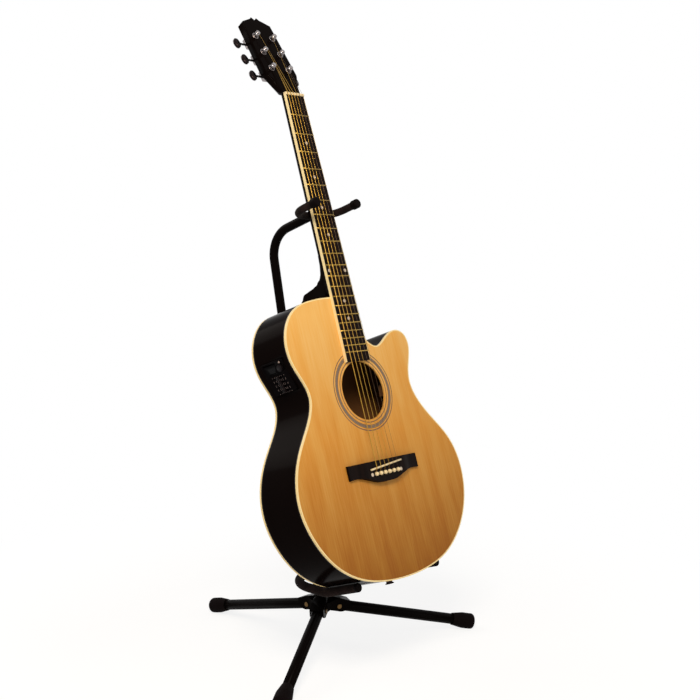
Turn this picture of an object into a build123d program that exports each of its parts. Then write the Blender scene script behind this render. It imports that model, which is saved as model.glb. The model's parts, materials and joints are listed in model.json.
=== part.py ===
from build123d import *
import os
from functools import lru_cache
from math import atan2, cos, degrees, radians, sin, tan

# An acoustic-electric cutaway guitar resting in a tubular floor stand.  All lengths are millimetres.
# Guitar frame: X towards the treble side, Y towards the headstock with 0 at the nut, Z out of the
# soundboard with 0 on its outer face.  Floor frame: X as the guitar's, -Y the way the soundboard faces,
# Z up from the floor.

# ---- guitar: scale, fingerboard, neck
SCALE = 650.0
FRETS = 21
NUT_WIDTH = 42.7
BOARD_TAPER = 0.031
BOARD_END = 473.0
BOARD_T = 5.5
BOARD_BINDING = 0.7
FRET_WIDTH = 2.2
FRET_HEIGHT = 1.0
DOT_RADIUS = 3.0
DOT_DEPTH = 0.8
OCTAVE_DOT_X = 19.0
NUT_T = 5.0
NUT_RISE = 1.6
NECK_DEPTH = 16.0
NECK_GROWTH = 0.004
HEEL_START = 285.0
HEEL_PROFILE = ((296.0, 21.0), (306.0, 31.0), (317.5, 40.5), (326.0, 57.0), (328.5, 74.0), (333.0, 82.0))
HEEL_CAP_D = 341.0
HEEL_DEPTH = 85.0
HEEL_CAP_HALF = 14.0
TRUSS_RADIUS = 3.0
TRUSS_LENGTH = 330.0

# ---- guitar: headstock and tuners
HEAD_ANGLE = 16.0
HEAD_T = 13.0
VENEER_T = 2.0
HEAD_LENGTH = 167.0
HEAD_TOP_HALF = 32.5
HEAD_FLARE_HALF = 36.5
HEAD_FLARE_Y = 47.0
HEAD_SHOULDER = 8.0
POST_X = 20.0
POST_FIRST = 54.5
POST_PITCH = 36.0
POST_RADIUS = 3.0
POST_RISE = 10.5
WORM_TURNS = 14
WINDING_RADIUS = 4.2
WINDING_HEIGHT = 5.0
WINDING_BASE = 3.6
TUNER_BORE_CLEARANCE = 0.06
BUSH_ACROSS = 10.0
BUSH_T = 2.6
GEARBOX = (15.0, 19.0, 9.0)
WORM_OFFSET = -4.2
WORM_RADIUS = 2.0
BUTTON_REACH = 44.5
BUTTON_LENGTH = 13.0
BUTTON_WIDTH = 20.0
BUTTON_WAIST = 3.4
BUTTON_T = 6.5

# ---- guitar: body
BODY_TOP = 360.0
BODY_TAIL = 835.0
TOP_DEPTH = 83.0
TAIL_DEPTH = 92.0
LOWER_BOUT = ((60.0, 830.3), (104.0, 818.5), (148.0, 792.0), (186.0, 746.0), (202.5, 684.0),
              (190.5, 630.0))
BASS_TRIM = 2.6
BASS_UPPER = ((158.5, 584.0), (132.7, 547.0), (125.6, 521.0), (133.0, 496.0), (146.4, 468.0),
              (151.2, 440.0), (141.0, 404.0), (114.5, 376.5), (72.0, 363.5))
BASS_SHOULDER = 28.0
CUTAWAY_SIDE = 28.5
CUTAWAY_CORNER = 12.0
CUTAWAY_DROP = 417.0
TREBLE_UPPER = ((163.0, 593.0), (133.5, 555.0), (121.5, 518.0), (127.5, 492.0), (138.0, 468.0),
                (141.7, 450.0), (135.0, 432.0), (117.0, 424.2), (85.0, 435.5), (56.0, 449.3),
                (36.0, 437.5))
RIM_T = 2.2
PLATE_T = 2.8
BINDING_H = 5.5
LINING_T = 5.0
LINING_H = 12.0
HOLE_D = 522.4
HOLE_RADIUS = 50.0
ROSETTE = ((67.4, 69.0), (59.0, 64.8), (53.6, 55.0))
ROSETTE_DEPTH = 1.0
BLOCK_T = 34.0
TAIL_BLOCK_T = 18.0
BLOCK_HALF = 40.0
BRACE_W = 8.0
BRACE_H = 12.0
BRACE_ANGLE = 42.0
BACK_BRACES = (426.0, 570.0, 650.0, 745.0)
BRACE_SPAN = 460.0
JACK_Z = -44.5
JACK_RADIUS = 6.0
JACK_FLANGE = 8.5
JACK_REACH = 7.0
JACK_BORE = 3.2

# ---- guitar: bridge and strings
BRIDGE_AHEAD = 9.0
BRIDGE_WING = 24.0
BRIDGE_BELLY = 36.0
BRIDGE_HALF = 84.0
BRIDGE_H = 8.5
WING_H = 4.5
SADDLE_COMPENSATION = (4.5, -2.5)
SADDLE_HALF = 38.0
SADDLE_T = 3.0
SADDLE_RISE = 3.6
PIN_BEHIND = 12.5
PIN_SPREAD = 53.3
PIN_RADIUS = 2.6
PIN_HEAD = 3.5
NUT_SPREAD = 35.5
STRING_RADII = (0.67, 0.53, 0.41, 0.31, 0.22, 0.18)
STRING_GAP = 0.06
ACTION_AT_NUT = 0.5

# ---- guitar: preamp on the bass side
PREAMP_FROM = 449.0
PREAMP_TO = 505.0
PREAMP_WIDTH = 52.0
PREAMP_Z = -42.2
PANEL_T = 3.6
PANEL_LIFT = 3.4
CASE_DEPTH = 26.0
CASE_MARGIN = 4.0
DOOR = (17.0, 28.0)
DOOR_EDGE = 5.0
DOOR_T = 2.0
DOOR_GAP = 0.3
SLIDERS = 4
SLIDER_PITCH = 7.6
SLIDER_TRAVEL = 8.0
SLIDER_CAP = (4.4, 6.0, 4.0)
SLIDER_STEM = (1.2, 3.0)
KNOB_RADIUS = 5.5
KNOB_H = 5.0
KNOB_EDGE = 9.5
LAMP_RADIUS = 1.7
LAMP_EDGE = (4.5, 8.0)

# ---- how the guitar sits
NUT_HEIGHT = 957.0
GUITAR_LEAN = 18.2

# ---- stand
POST_LEAN = 10.9
POST_FOOT_Y = -79.7
HUB_Z = 77.5
LOWER_TUBE = (11.0, 9.5)
TUBE_FIT = 0.08
LINER_LENGTH = 60.0
UPPER_TUBE = (8.0, 6.8)
LOWER_TOP = 420.0
UPPER_INSERT = 130.0
BEND_RADIUS = 50.0
YOKE_D = 208.0
YOKE_HALF = 49.0
YOKE_CORNER = 34.0
YOKE_REACH = 62.0
YOKE_ROD = 4.0
YOKE_SLEEVE = 6.5
CAP_OVER = 1.6
CAP_T = 6.0
REST_GAP = 0.3
CRADLE_HALF = 98.0
CRADLE_CORNER = 60.0
CRADLE_ROD = 5.0
CRADLE_SLEEVE = 7.5
CRADLE_TIP_Z = -24.0
CRADLE_KNEE = 40.0
COLLAR_WALL = 4.0
COLLAR_H = 30.0
CLAMP_KNOB_RADIUS = 17.0
CLAMP_SCREW = 3.0
LEG_SLOPE = 13.0
LEG_RADIUS = 9.5
LEG_WALL = 1.5
LEG_PIVOT_R = 27.0
LEG_END_R = 288.0
LEG_TAIL = 7.0
FOOT_RADIUS = 14.0
FOOT_LENGTH = 42.0
FOOT_NECK = (10.8, 20.0)
CHEEK_T = 2.4
CHEEK_GAP = 0.4
RIVET_RADIUS = 3.0
RIVET_HEAD = 4.2
PIVOT_CLEARANCE = 0.06
HUB_RADIUS = 13.0
LEG_AZIMUTHS = {"front_left": -148.5, "front_right": -28.5, "rear": 91.5}

# ---- sizes that follow from those above
BRIDGE_TOP_D = SCALE - BRIDGE_AHEAD
BRIDGE_WING_D = BRIDGE_TOP_D + BRIDGE_WING
BRIDGE_BELLY_D = BRIDGE_TOP_D + BRIDGE_BELLY
SADDLE_D = tuple(SCALE + more for more in SADDLE_COMPENSATION)
PIN_D = SCALE + PIN_BEHIND
TUBE_BORE = UPPER_TUBE[0] + TUBE_FIT

UP = (Align.CENTER, Align.CENTER, Align.MIN)
DOWN = (Align.CENTER, Align.CENTER, Align.MAX)
MID = (Align.CENTER, Align.CENTER, Align.CENTER)


# ---------------------------------------------------------------- helpers

def rod(start, end, radius):
    """A round bar between two points."""
    start, end = Vector(*start), Vector(*end)
    axis = end - start
    return Plane(origin=start, z_dir=axis) * Cylinder(radius, axis.length, align=UP)


def group(shapes):
    """One compound of separate solids."""
    solids = []
    for shape in shapes:
        solids.extend(shape.solids())
    return Compound(solids)


def tube_along(path, radius, bore=0.0):
    """A round bar or tube that follows a wire of lines and tangent arcs."""
    start = Plane(origin=path @ 0, z_dir=path % 0)
    bar = sweep(start * Circle(radius), path=path)
    if bore:
        bar = bar - sweep(start * Circle(bore), path=path)
    return bar


def fret_place(number):
    """Distance of a fret from the nut."""
    return SCALE * (1 - 2 ** (-number / 12))


def board_half(distance):
    """Half the fingerboard's width at a distance from the nut."""
    return (NUT_WIDTH + BOARD_TAPER * distance) / 2


def neck_depth(distance):
    """How far the neck's back lies behind the soundboard's plane."""
    return NECK_DEPTH + NECK_GROWTH * distance


# ---------------------------------------------------------------- places

GUITAR_PLANE = Plane(origin=(0, 0, NUT_HEIGHT), x_dir=(1, 0, 0),
                     z_dir=(0, -cos(radians(GUITAR_LEAN)), sin(radians(GUITAR_LEAN))))
HEAD_PLANE = Plane(origin=(0, NUT_T, 0), x_dir=(1, 0, 0),
                   z_dir=(0, sin(radians(HEAD_ANGLE)), cos(radians(HEAD_ANGLE))))
BACK_TILT = atan2(TAIL_DEPTH - TOP_DEPTH, BODY_TAIL - BODY_TOP)
BACK_PLANE = Plane(origin=(0, -BODY_TOP, -TOP_DEPTH), x_dir=(1, 0, 0),
                   z_dir=(0, -sin(BACK_TILT), cos(BACK_TILT)))
POST_DIR = Vector(0, sin(radians(POST_LEAN)), cos(radians(POST_LEAN)))
POST_BASE = Vector(0, POST_FOOT_Y, 0)


def post_at(height):
    """The point of the post's axis at a height above the floor."""
    return POST_BASE + POST_DIR * (height / POST_DIR.Z)


def guitar_point(x, y, z):
    """A point of the guitar frame in the floor frame."""
    return GUITAR_PLANE.from_local_coords(Vector(x, y, z))


def tuner_places():
    """Side and distance along the headstock of each post, from the low string round to the high one."""
    bass = [(-1, POST_FIRST + POST_PITCH * k) for k in range(3)]
    treble = [(1, POST_FIRST + POST_PITCH * k) for k in (2, 1, 0)]
    return bass + treble


# ---------------------------------------------------------------- guitar body

@lru_cache(None)
def side_curves():
    """The two long sides of the body's plan: each one's points and the curve through them."""
    tail = (0, -BODY_TAIL)
    # Both halves are the same where the body rests; above that the bass half is a little narrower.
    bass = [tail] + [(-x, -d) for x, d in LOWER_BOUT[:3]] + [(BASS_TRIM - x, -d) for x, d in LOWER_BOUT[3:]]
    bass += [(-x, -d) for x, d in BASS_UPPER] + [(-BASS_SHOULDER, -BODY_TOP)]
    treble = [(CUTAWAY_SIDE, -CUTAWAY_DROP)] + [(x, -d) for x, d in reversed(TREBLE_UPPER)]
    treble += [(x, -d) for x, d in reversed(LOWER_BOUT)] + [tail]
    return (bass, side_curve(bass, (-1, 0), (1, 0))), (treble, side_curve(treble, (0, -1), (-1, 0)))


def side_curve(points, start, end):
    """A curve through points with set headings at its ends."""
    return Spline(*points, tangents=(start, end), tangent_scalars=(1, 1))


def moved_in(points, curve, inset):
    """The points of a side moved towards the body's middle."""
    moved = []
    for x, y in points:
        heading = curve.tangent_at(curve.param_at_point(Vector(x, y)))
        moved.append((x + heading.Y * inset, y - heading.X * inset))
    return moved


@lru_cache(None)
def outline(inset=0.0):
    """The body's plan, with a rounded cutaway beside the fingerboard, taken in by an inset."""
    (bass, bass_curve), (treble, treble_curve) = side_curves()
    bass = moved_in(bass, bass_curve, inset)
    treble = moved_in(treble, treble_curve, inset)
    top, side = -BODY_TOP - inset, CUTAWAY_SIDE - inset
    radius = CUTAWAY_CORNER - inset
    corner_x = CUTAWAY_SIDE - CUTAWAY_CORNER
    corner_y = -BODY_TOP - CUTAWAY_CORNER
    return make_face([
        side_curve(bass, (-1, 0), (1, 0)),
        Line((-BASS_SHOULDER, top), (corner_x, top)),
        RadiusArc((corner_x, top), (side, corner_y), radius),
        Line((side, corner_y), (side, -CUTAWAY_DROP)),
        side_curve(treble, (0, -1), (-1, 0)),
    ]).face()


def slab(inset, z_top, thickness):
    """A plate of the body's plan."""
    return extrude(Plane.XY.offset(z_top - thickness) * outline(inset), thickness)


def ring(outer, inner, z_top, height):
    """A strip that follows the body's edge between two insets."""
    return slab(outer, z_top, height) - slab(inner, z_top + 1, height + 2)


def back_depth(distance):
    """How deep the body is at a distance from the nut."""
    return TOP_DEPTH + (distance - BODY_TOP) * tan(BACK_TILT)


def above_back(low, high=2 * TAIL_DEPTH):
    """The room between two heights over the tilted plane of the back."""
    reach = 2 * BODY_TAIL
    return BACK_PLANE * Pos(0, 0, low) * Box(reach, reach, high - low, align=UP)


def preamp_plane():
    """Origin at the panel's middle on the chord of the side, X along the side to the tail, Z outwards."""
    edge = outline().outer_wire()
    ends = []
    for distance in (PREAMP_FROM, PREAMP_TO):
        hits = edge.intersect(Edge.make_line((-BODY_TAIL, -distance), (0, -distance)))
        points = [v.center() for v in hits.vertices()] if hasattr(hits, "vertices") else list(hits)
        ends.append(min(points, key=lambda v: v.X))
    top, foot = (Vector(e.X, e.Y, PREAMP_Z) for e in ends)
    along = (foot - top).normalized()
    outward = Vector(along.Y, -along.X, 0)
    return Plane(origin=(top + foot) / 2, x_dir=along, z_dir=outward)


def preamp_length():
    return PREAMP_TO - PREAMP_FROM


def pin_places():
    """Where each string's pin stands on the bridge."""
    return [(-PIN_SPREAD / 2 + PIN_SPREAD * i / 5, -PIN_D) for i in range(6)]


def pin_holes(z_top, depth):
    holes = [Pos(x, y, z_top) * Cylinder(PIN_RADIUS + 0.05, depth, align=DOWN) for x, y in pin_places()]
    return group(holes)


def body_pieces():
    """Soundboard, rosette, back, rim, bindings, blocks, linings and braces."""
    deep = 2 * TAIL_DEPTH
    rosette = []
    for inner, outer in ROSETTE:
        disc = Circle(outer) - Circle(inner)
        rosette.append(extrude(Pos(0, -HOLE_D, -ROSETTE_DEPTH) * disc, ROSETTE_DEPTH))
    rosette = group(rosette)
    # The fingerboard covers the rosette's top, where the inlay stops.
    cover = Pos(0, -BOARD_END, 0) * Box(2 * board_half(BOARD_END) + 2, BOARD_END, 4 * ROSETTE_DEPTH,
                                       align=(Align.CENTER, Align.MIN, Align.CENTER))
    rosette = group([rosette - cover])
    hole = Pos(0, -HOLE_D, 0) * Cylinder(HOLE_RADIUS, 4 * PLATE_T)
    soundboard = slab(RIM_T, 0, PLATE_T) - hole - rosette - pin_holes(1, 2 * PLATE_T)
    back = slab(RIM_T, 0, deep) & above_back(0, PLATE_T)
    binding = [ring(0, RIM_T, 0, BINDING_H), ring(0, RIM_T, 0, deep) & above_back(0, BINDING_H)]

    side = preamp_plane()
    length = preamp_length()
    panel_bed = side * Pos(0, 0, PANEL_LIFT) * Box(length, PREAMP_WIDTH, PANEL_T, align=DOWN)
    case_cut = side * Box(length - 2 * CASE_MARGIN, PREAMP_WIDTH - 2 * CASE_MARGIN, 4 * CASE_DEPTH)
    jack_hole = Pos(0, -BODY_TAIL, JACK_Z) * Rot(90, 0, 0) * Cylinder(JACK_RADIUS, 4 * TAIL_BLOCK_T)
    rim = ring(0, RIM_T, -BINDING_H, deep) & above_back(BINDING_H)
    rim = rim - panel_bed - case_cut - jack_hole

    inside_z = -PLATE_T
    room = slab(RIM_T, inside_z, deep) & above_back(PLATE_T)
    neck_block = room & Pos(-4, -BODY_TOP, inside_z) * Box(
        1.5 * BLOCK_HALF, 2 * BLOCK_T, deep, align=(Align.CENTER, Align.CENTER, Align.MAX))
    tail_block = room & Pos(0, -BODY_TAIL, inside_z) * Box(
        2 * BLOCK_HALF, 2 * TAIL_BLOCK_T, deep, align=(Align.CENTER, Align.CENTER, Align.MAX))
    tail_block = tail_block - jack_hole
    top_lining = ring(RIM_T, RIM_T + LINING_T, inside_z, LINING_H) - neck_block - tail_block
    back_lining = ring(RIM_T, RIM_T + LINING_T, inside_z, deep) & above_back(PLATE_T, PLATE_T + LINING_H)
    back_lining = back_lining - neck_block - tail_block

    inner = RIM_T + LINING_T + 0.3
    brace_room = slab(inner, inside_z, BRACE_H)
    cross_y = -(HOLE_D + HOLE_RADIUS + 14)
    bar = Box(BRACE_W, BRACE_SPAN, BRACE_H, align=DOWN)
    cross = Pos(0, cross_y, inside_z) * (Rot(0, 0, BRACE_ANGLE) * bar + Rot(0, 0, -BRACE_ANGLE) * bar)
    brow = Pos(0, -(HOLE_D - HOLE_RADIUS - 26), inside_z) * Box(BRACE_SPAN, BRACE_W, BRACE_H, align=DOWN)
    hole_room = Pos(0, -HOLE_D, 0) * Cylinder(HOLE_RADIUS + 3, deep)
    pin_room = pin_holes(0, deep / 2)
    top_braces = (cross + brow) & brace_room
    top_braces = top_braces - hole_room - pin_room
    bridge_plate = Pos(0, -PIN_D + 3, inside_z) * Box(
        PIN_SPREAD + 16, BRIDGE_BELLY - 2, PLATE_T - 0.3, align=DOWN)
    bridge_plate = bridge_plate - pin_room - top_braces
    back_room = slab(inner, inside_z, deep) & above_back(PLATE_T, PLATE_T + BRACE_H)
    back_braces = []
    for distance in BACK_BRACES:
        bar = BACK_PLANE * Pos(0, BODY_TOP - distance, 0) * Box(BRACE_SPAN, BRACE_W, 3 * BRACE_H)
        back_braces.append((bar & back_room) - neck_block)
    return {
        "soundboard": soundboard,
        "rosette": rosette,
        "back_plate": back,
        "rim": rim,
        "body_binding": group(binding),
        "blocks_and_linings": group([neck_block, tail_block, top_lining, back_lining]),
        "braces": group([top_braces, bridge_plate] + back_braces),
    }


# ---------------------------------------------------------------- neck and headstock

def headstock_face():
    """The headstock's plan: flared from the nut, tapering up to a top with two small peaks."""
    half = NUT_WIDTH / 2
    flare_end = (HEAD_FLARE_HALF, HEAD_FLARE_Y)
    shoulder = (HEAD_TOP_HALF, HEAD_LENGTH - HEAD_SHOULDER)
    right = [
        Spline((half, 0), (half + 1.6, 13), (half + 8.5, 33), flare_end, tangents=((0, 1), (0.25, 1))),
        Line(flare_end, shoulder),
        Line(shoulder, (11, HEAD_LENGTH + 1.5)),
        Line((11, HEAD_LENGTH + 1.5), (6, HEAD_LENGTH + 6)),
        Line((6, HEAD_LENGTH + 6), (0, HEAD_LENGTH)),
    ]
    left = [mirror(edge, about=Plane.YZ) for edge in right]
    return make_face(right + left + [Line((half, 0), (-half, 0))])


def half_ellipse(y, half, depth):
    """The neck's section: flat on top, rounded behind."""
    plane = Plane(origin=(0, y, 0), x_dir=(1, 0, 0), z_dir=(0, 1, 0))
    return plane * (Ellipse(half, depth) & Pos(0, depth) * Rectangle(2 * half, 2 * depth))


def head_blend(side):
    """The corner taken off behind the headstock, from the round of the neck out to the flare."""
    depth = VENEER_T + HEAD_T
    low = Vector(side * NUT_WIDTH / 2, 0, -depth * 0.4)
    inner = Vector(side * NUT_WIDTH / 4, 0, -depth)
    flare = Vector(side * HEAD_FLARE_HALF, HEAD_FLARE_Y + 3, -depth)
    outward = (inner - low).cross(flare - low) * side
    plane = Plane(origin=low, x_dir=(inner - low), z_dir=outward)
    return plane * Box(2 * HEAD_LENGTH, 2 * HEAD_LENGTH, 2 * depth, align=UP)


def neck_pieces():
    """Neck with its heel and headstock, the veneer on its face and the rod inside."""
    shaft = loft([half_ellipse(0, board_half(0), neck_depth(0)),
                  half_ellipse(-BODY_TOP, board_half(BODY_TOP), neck_depth(BODY_TOP))])
    throat = Pos(0, 0, 0) * Box(NUT_WIDTH, NUT_T, NECK_DEPTH * 0.8, align=(Align.CENTER, Align.MIN, Align.MAX))
    top = neck_depth(HEEL_START) - 1.5
    cap = (-HEEL_CAP_D, -HEEL_DEPTH)
    side_profile = make_face([
        Spline((-HEEL_START, -top), *[(-d, -z) for d, z in HEEL_PROFILE], cap,
               tangents=((-1, -0.1), (-1, -0.15))),
        Line(cap, (-BODY_TOP, -HEEL_DEPTH)),
        Line((-BODY_TOP, -HEEL_DEPTH), (-BODY_TOP, 0)),
        Line((-BODY_TOP, 0), (-HEEL_START, 0)),
        Line((-HEEL_START, 0), (-HEEL_START, -top)),
    ])
    side_plane = Plane(origin=(0, 0, 0), x_dir=(0, 1, 0), z_dir=(1, 0, 0))
    wide = board_half(HEEL_START) - 0.4
    heel = extrude(side_plane * side_profile, wide, both=True)
    front_plane = Plane(origin=(0, -BODY_TOP - 1, 0), x_dir=(1, 0, 0), z_dir=(0, -1, 0))
    front_right = [(wide, 0), (wide - 2, -16), (wide - 7.5, -42), (HEEL_CAP_HALF, -HEEL_DEPTH)]
    front = make_face([
        Spline(*front_right, tangents=((-0.02, -1), (-0.05, -1))),
        Line(front_right[-1], (-HEEL_CAP_HALF, -HEEL_DEPTH)),
        Spline(*[(-x, z) for x, z in front_right], tangents=((0.02, -1), (0.05, -1))),
        Line((wide, 0), (-wide, 0)),
    ])
    heel = heel & extrude(front_plane * front, -HEEL_START)
    head_plan = headstock_face()
    core = Pos(0, 0, -VENEER_T) * extrude(head_plan, -HEAD_T)
    for side in (-1, 1):
        core = core - head_blend(side)
    core = HEAD_PLANE * core
    veneer = HEAD_PLANE * extrude(head_plan, -VENEER_T)
    neck = shaft + throat + heel + core
    above = Pos(0, 0, 0) * Box(100, 2 * BODY_TOP, 40, align=UP)
    neck = neck - veneer - above
    channel = Pos(0, -20, 0) * Box(2 * TRUSS_RADIUS + 0.2, TRUSS_LENGTH, 2 * TRUSS_RADIUS + 3,
                                   align=(Align.CENTER, Align.MAX, Align.MAX))
    neck = neck - channel
    rod_z = -TRUSS_RADIUS - 2.8
    truss = rod((0, -22, rod_z), (0, -20 - TRUSS_LENGTH + 1, rod_z), TRUSS_RADIUS)
    bores = []
    for side, along in tuner_places():
        bores.append(HEAD_PLANE * Pos(side * POST_X, along, 2) * Cylinder(POST_RADIUS + 0.5, 40, align=DOWN))
    bores = group(bores)
    return {"neck": neck - bores, "headstock_veneer": veneer - bores, "truss_rod": truss}


def fingerboard_pieces():
    """Fingerboard with its binding, frets and inlaid dots, and the nut."""
    def plan(start, end, inset):
        a, b = board_half(start) - inset, board_half(end) - inset
        return make_face(Polyline((-a, -start), (a, -start), (b, -end), (-b, -end), (-a, -start)))

    whole = extrude(plan(0, BOARD_END, 0), BOARD_T)
    board = extrude(plan(0, BOARD_END, BOARD_BINDING), BOARD_T)
    binding = whole - board
    dots = []
    for number in (3, 5, 7, 9, 12, 15, 17):
        middle = -(fret_place(number) + fret_place(number - 1)) / 2
        spots = (-OCTAVE_DOT_X, OCTAVE_DOT_X) if number == 12 else (0,)
        dots += [Pos(x, middle, BOARD_T) * Cylinder(DOT_RADIUS, DOT_DEPTH, align=DOWN) for x in spots]
    frets = []
    for number in range(1, FRETS + 1):
        place = fret_place(number)
        if place > BOARD_END - FRET_WIDTH:
            continue
        half = board_half(place) - 0.4
        section = make_face([ThreePointArc((-FRET_WIDTH / 2, 0), (0, FRET_HEIGHT), (FRET_WIDTH / 2, 0)),
                             Line((FRET_WIDTH / 2, 0), (-FRET_WIDTH / 2, 0))])
        plane = Plane(origin=(-half, -place, BOARD_T), x_dir=(0, 1, 0), z_dir=(1, 0, 0))
        frets.append(extrude(plane * section, 2 * half))
    dots = group(dots)
    nut = Box(NUT_WIDTH, NUT_T, BOARD_T + NUT_RISE, align=(Align.CENTER, Align.MIN, Align.MIN))
    nut = fillet(nut.edges().filter_by(Axis.X).sort_by(Axis.Z)[-2:], 1.2)
    return {
        "fingerboard": board - dots,
        "fingerboard_binding": binding,
        "frets": group(frets),
        "pearl_dots": dots,
        "nut": nut,
    }


# ---------------------------------------------------------------- tuners

def tuner_pieces():
    """Gearboxes and bushings, and each tuner's post with its winding and each button with its worm shaft."""
    pieces = {}
    hardware = []
    bore = POST_RADIUS + TUNER_BORE_CLEARANCE
    box_x, box_y, box_z = GEARBOX
    back = -VENEER_T - HEAD_T
    worm_z = back - box_z / 2
    shaft_start = POST_X + 5.5
    shaft_bore = WORM_RADIUS + TUNER_BORE_CLEARANCE
    for number, (side, along) in enumerate(tuner_places(), 1):
        place = HEAD_PLANE * Pos(side * POST_X, along, 0)
        gearbox = Pos(side * 2.0, WORM_OFFSET / 2, back) * Box(box_x, box_y, box_z, align=DOWN)
        gearbox = fillet(gearbox.edges().group_by(Axis.Z)[0], 2.0)
        gearbox = gearbox - Pos(0, 0, back + 1) * Cylinder(bore, 5, align=DOWN)
        worm = Plane(origin=(side * (shaft_start - POST_X - 1), WORM_OFFSET, worm_z), z_dir=(side, 0, 0))
        gearbox = gearbox - worm * Cylinder(shaft_bore, 20, align=UP)
        hexagon = extrude(RegularPolygon(BUSH_ACROSS / 2, 6, major_radius=False), BUSH_T)
        bushing = hexagon + Cylinder(BUSH_ACROSS / 2 + 1.2, 0.8, align=UP)
        bushing = bushing - Cylinder(bore, 40)
        hardware += [place * gearbox, place * bushing]

        post = Pos(0, 0, back - 3.6) * Cylinder(POST_RADIUS, POST_RISE - back + 3.6, align=UP)
        winding = Pos(0, 0, WINDING_BASE) * Cylinder(WINDING_RADIUS, WINDING_HEIGHT, align=UP)
        cap = Pos(0, 0, POST_RISE) * Cylinder(POST_RADIUS + 0.8, 1.6, align=DOWN)
        pieces[f"tuner_post_{number}"] = place * (post + winding + cap)

        length = BUTTON_REACH - shaft_start
        shaft = Cylinder(WORM_RADIUS, length, align=UP)
        # Kidney-shaped grip, wide across the shaft and thinner through it, waisted beside the shaft.
        grip_plan = Pos(0, BUTTON_LENGTH / 2) * Ellipse(BUTTON_WIDTH / 2, BUTTON_LENGTH / 2)
        grip = extrude(grip_plan, BUTTON_T / 2, both=True)
        grip = chamfer(grip.faces().filter_by(Axis.Z).edges(), 1.4)
        for x in (-BUTTON_WIDTH / 4, BUTTON_WIDTH / 4):
            grip = grip - Pos(x, -BUTTON_WAIST * 0.3, 0) * Cylinder(BUTTON_WAIST, 2 * BUTTON_T)
        grip_plane = Plane(origin=(0, 0, length - 0.8), x_dir=(1, 0, 0), z_dir=(0, -1, 0))
        button = shaft + grip_plane * grip
        seat = Plane(origin=(side * (shaft_start - POST_X), WORM_OFFSET, worm_z), x_dir=(0, 1, 0),
                     z_dir=(side, 0, 0))
        pieces[f"tuner_button_{number}"] = place * (seat * button)
    pieces["tuner_hardware"] = group(hardware)
    return pieces


# ---------------------------------------------------------------- bridge and strings

def bridge_pieces():
    """Bridge with a belly below the pins, saddle, pins and the two dots beside them."""
    half = BRIDGE_HALF
    lower_right = Spline((half, -BRIDGE_WING_D), (half * 0.66, -BRIDGE_WING_D - 0.5),
                         (half * 0.3, -BRIDGE_BELLY_D + 2.2), (0, -BRIDGE_BELLY_D),
                         tangents=((-1, 0.12), (-1, 0)))
    plan = make_face([
        Line((-half, -BRIDGE_TOP_D), (half, -BRIDGE_TOP_D)),
        Line((half, -BRIDGE_TOP_D), (half, -BRIDGE_WING_D)),
        lower_right,
        mirror(lower_right, about=Plane.YZ),
        Line((-half, -BRIDGE_WING_D), (-half, -BRIDGE_TOP_D)),
    ])
    bridge = extrude(plan, BRIDGE_H)
    scoop_start = half * 0.52
    wing = make_face([
        Spline((scoop_start, BRIDGE_H), (half * 0.72, WING_H + 0.9), (half + 1, WING_H),
               tangents=((1, 0), (1, 0))),
        Line((half + 1, WING_H), (half + 1, BRIDGE_H + 1)),
        Line((half + 1, BRIDGE_H + 1), (scoop_start, BRIDGE_H + 1)),
        Line((scoop_start, BRIDGE_H + 1), (scoop_start, BRIDGE_H)),
    ])
    wing_plane = Plane(origin=(0, -BRIDGE_TOP_D + 5, 0), x_dir=(1, 0, 0), z_dir=(0, -1, 0))
    scoop = extrude(wing_plane * wing, BRIDGE_BELLY_D - BRIDGE_TOP_D + 10)
    bridge = bridge - scoop - mirror(scoop, about=Plane.YZ)
    slot_angle = degrees(atan2(SADDLE_D[0] - SADDLE_D[1], 2 * SADDLE_HALF))
    saddle_place = Pos(0, -sum(SADDLE_D) / 2, BRIDGE_H) * Rot(0, 0, slot_angle)
    saddle_bed = 4.0
    saddle = Box(2 * SADDLE_HALF, SADDLE_T, SADDLE_RISE + saddle_bed)
    saddle = fillet(saddle.edges().filter_by(Axis.X).sort_by(Axis.Z)[-2:], SADDLE_T * 0.45)
    saddle = saddle_place * Pos(0, 0, (SADDLE_RISE - saddle_bed) / 2) * saddle
    slot = saddle_place * Box(2 * SADDLE_HALF, SADDLE_T, 2 * saddle_bed)
    dots = []
    for x in (-PIN_SPREAD / 2 - 9, PIN_SPREAD / 2 + 9):
        dots.append(Pos(x, -PIN_D, BRIDGE_H) * Cylinder(DOT_RADIUS, DOT_DEPTH, align=DOWN))
    dots = group(dots)
    pins = []
    shank = BRIDGE_H + 2 * PLATE_T + 8
    collar = 1.6
    profile = make_face([
        Line((0, -shank), (PIN_RADIUS - 0.5, -shank)),
        Line((PIN_RADIUS - 0.5, -shank), (PIN_RADIUS, 0)),
        Line((PIN_RADIUS, 0), (PIN_HEAD, 0)),
        Line((PIN_HEAD, 0), (PIN_HEAD, collar)),
        ThreePointArc((PIN_HEAD, collar), (PIN_HEAD * cos(radians(45)), collar + PIN_HEAD * sin(radians(45))),
                      (0, collar + PIN_HEAD)),
        Line((0, collar + PIN_HEAD), (0, -shank)),
    ])
    for x, y in pin_places():
        pins.append(Pos(x, y, BRIDGE_H) * revolve(Plane.XZ * profile, Axis.Z))
    bridge = bridge - slot - dots - pin_holes(BRIDGE_H + 1, 2 * BRIDGE_H)
    return {"bridge": bridge, "saddle": saddle, "bridge_pins": group(pins)}, dots


def saddle_distance(x):
    """Distance from the nut of the saddle's crest under a string."""
    share = (x + SADDLE_HALF) / (2 * SADDLE_HALF)
    return SADDLE_D[0] + (SADDLE_D[1] - SADDLE_D[0]) * share


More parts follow.
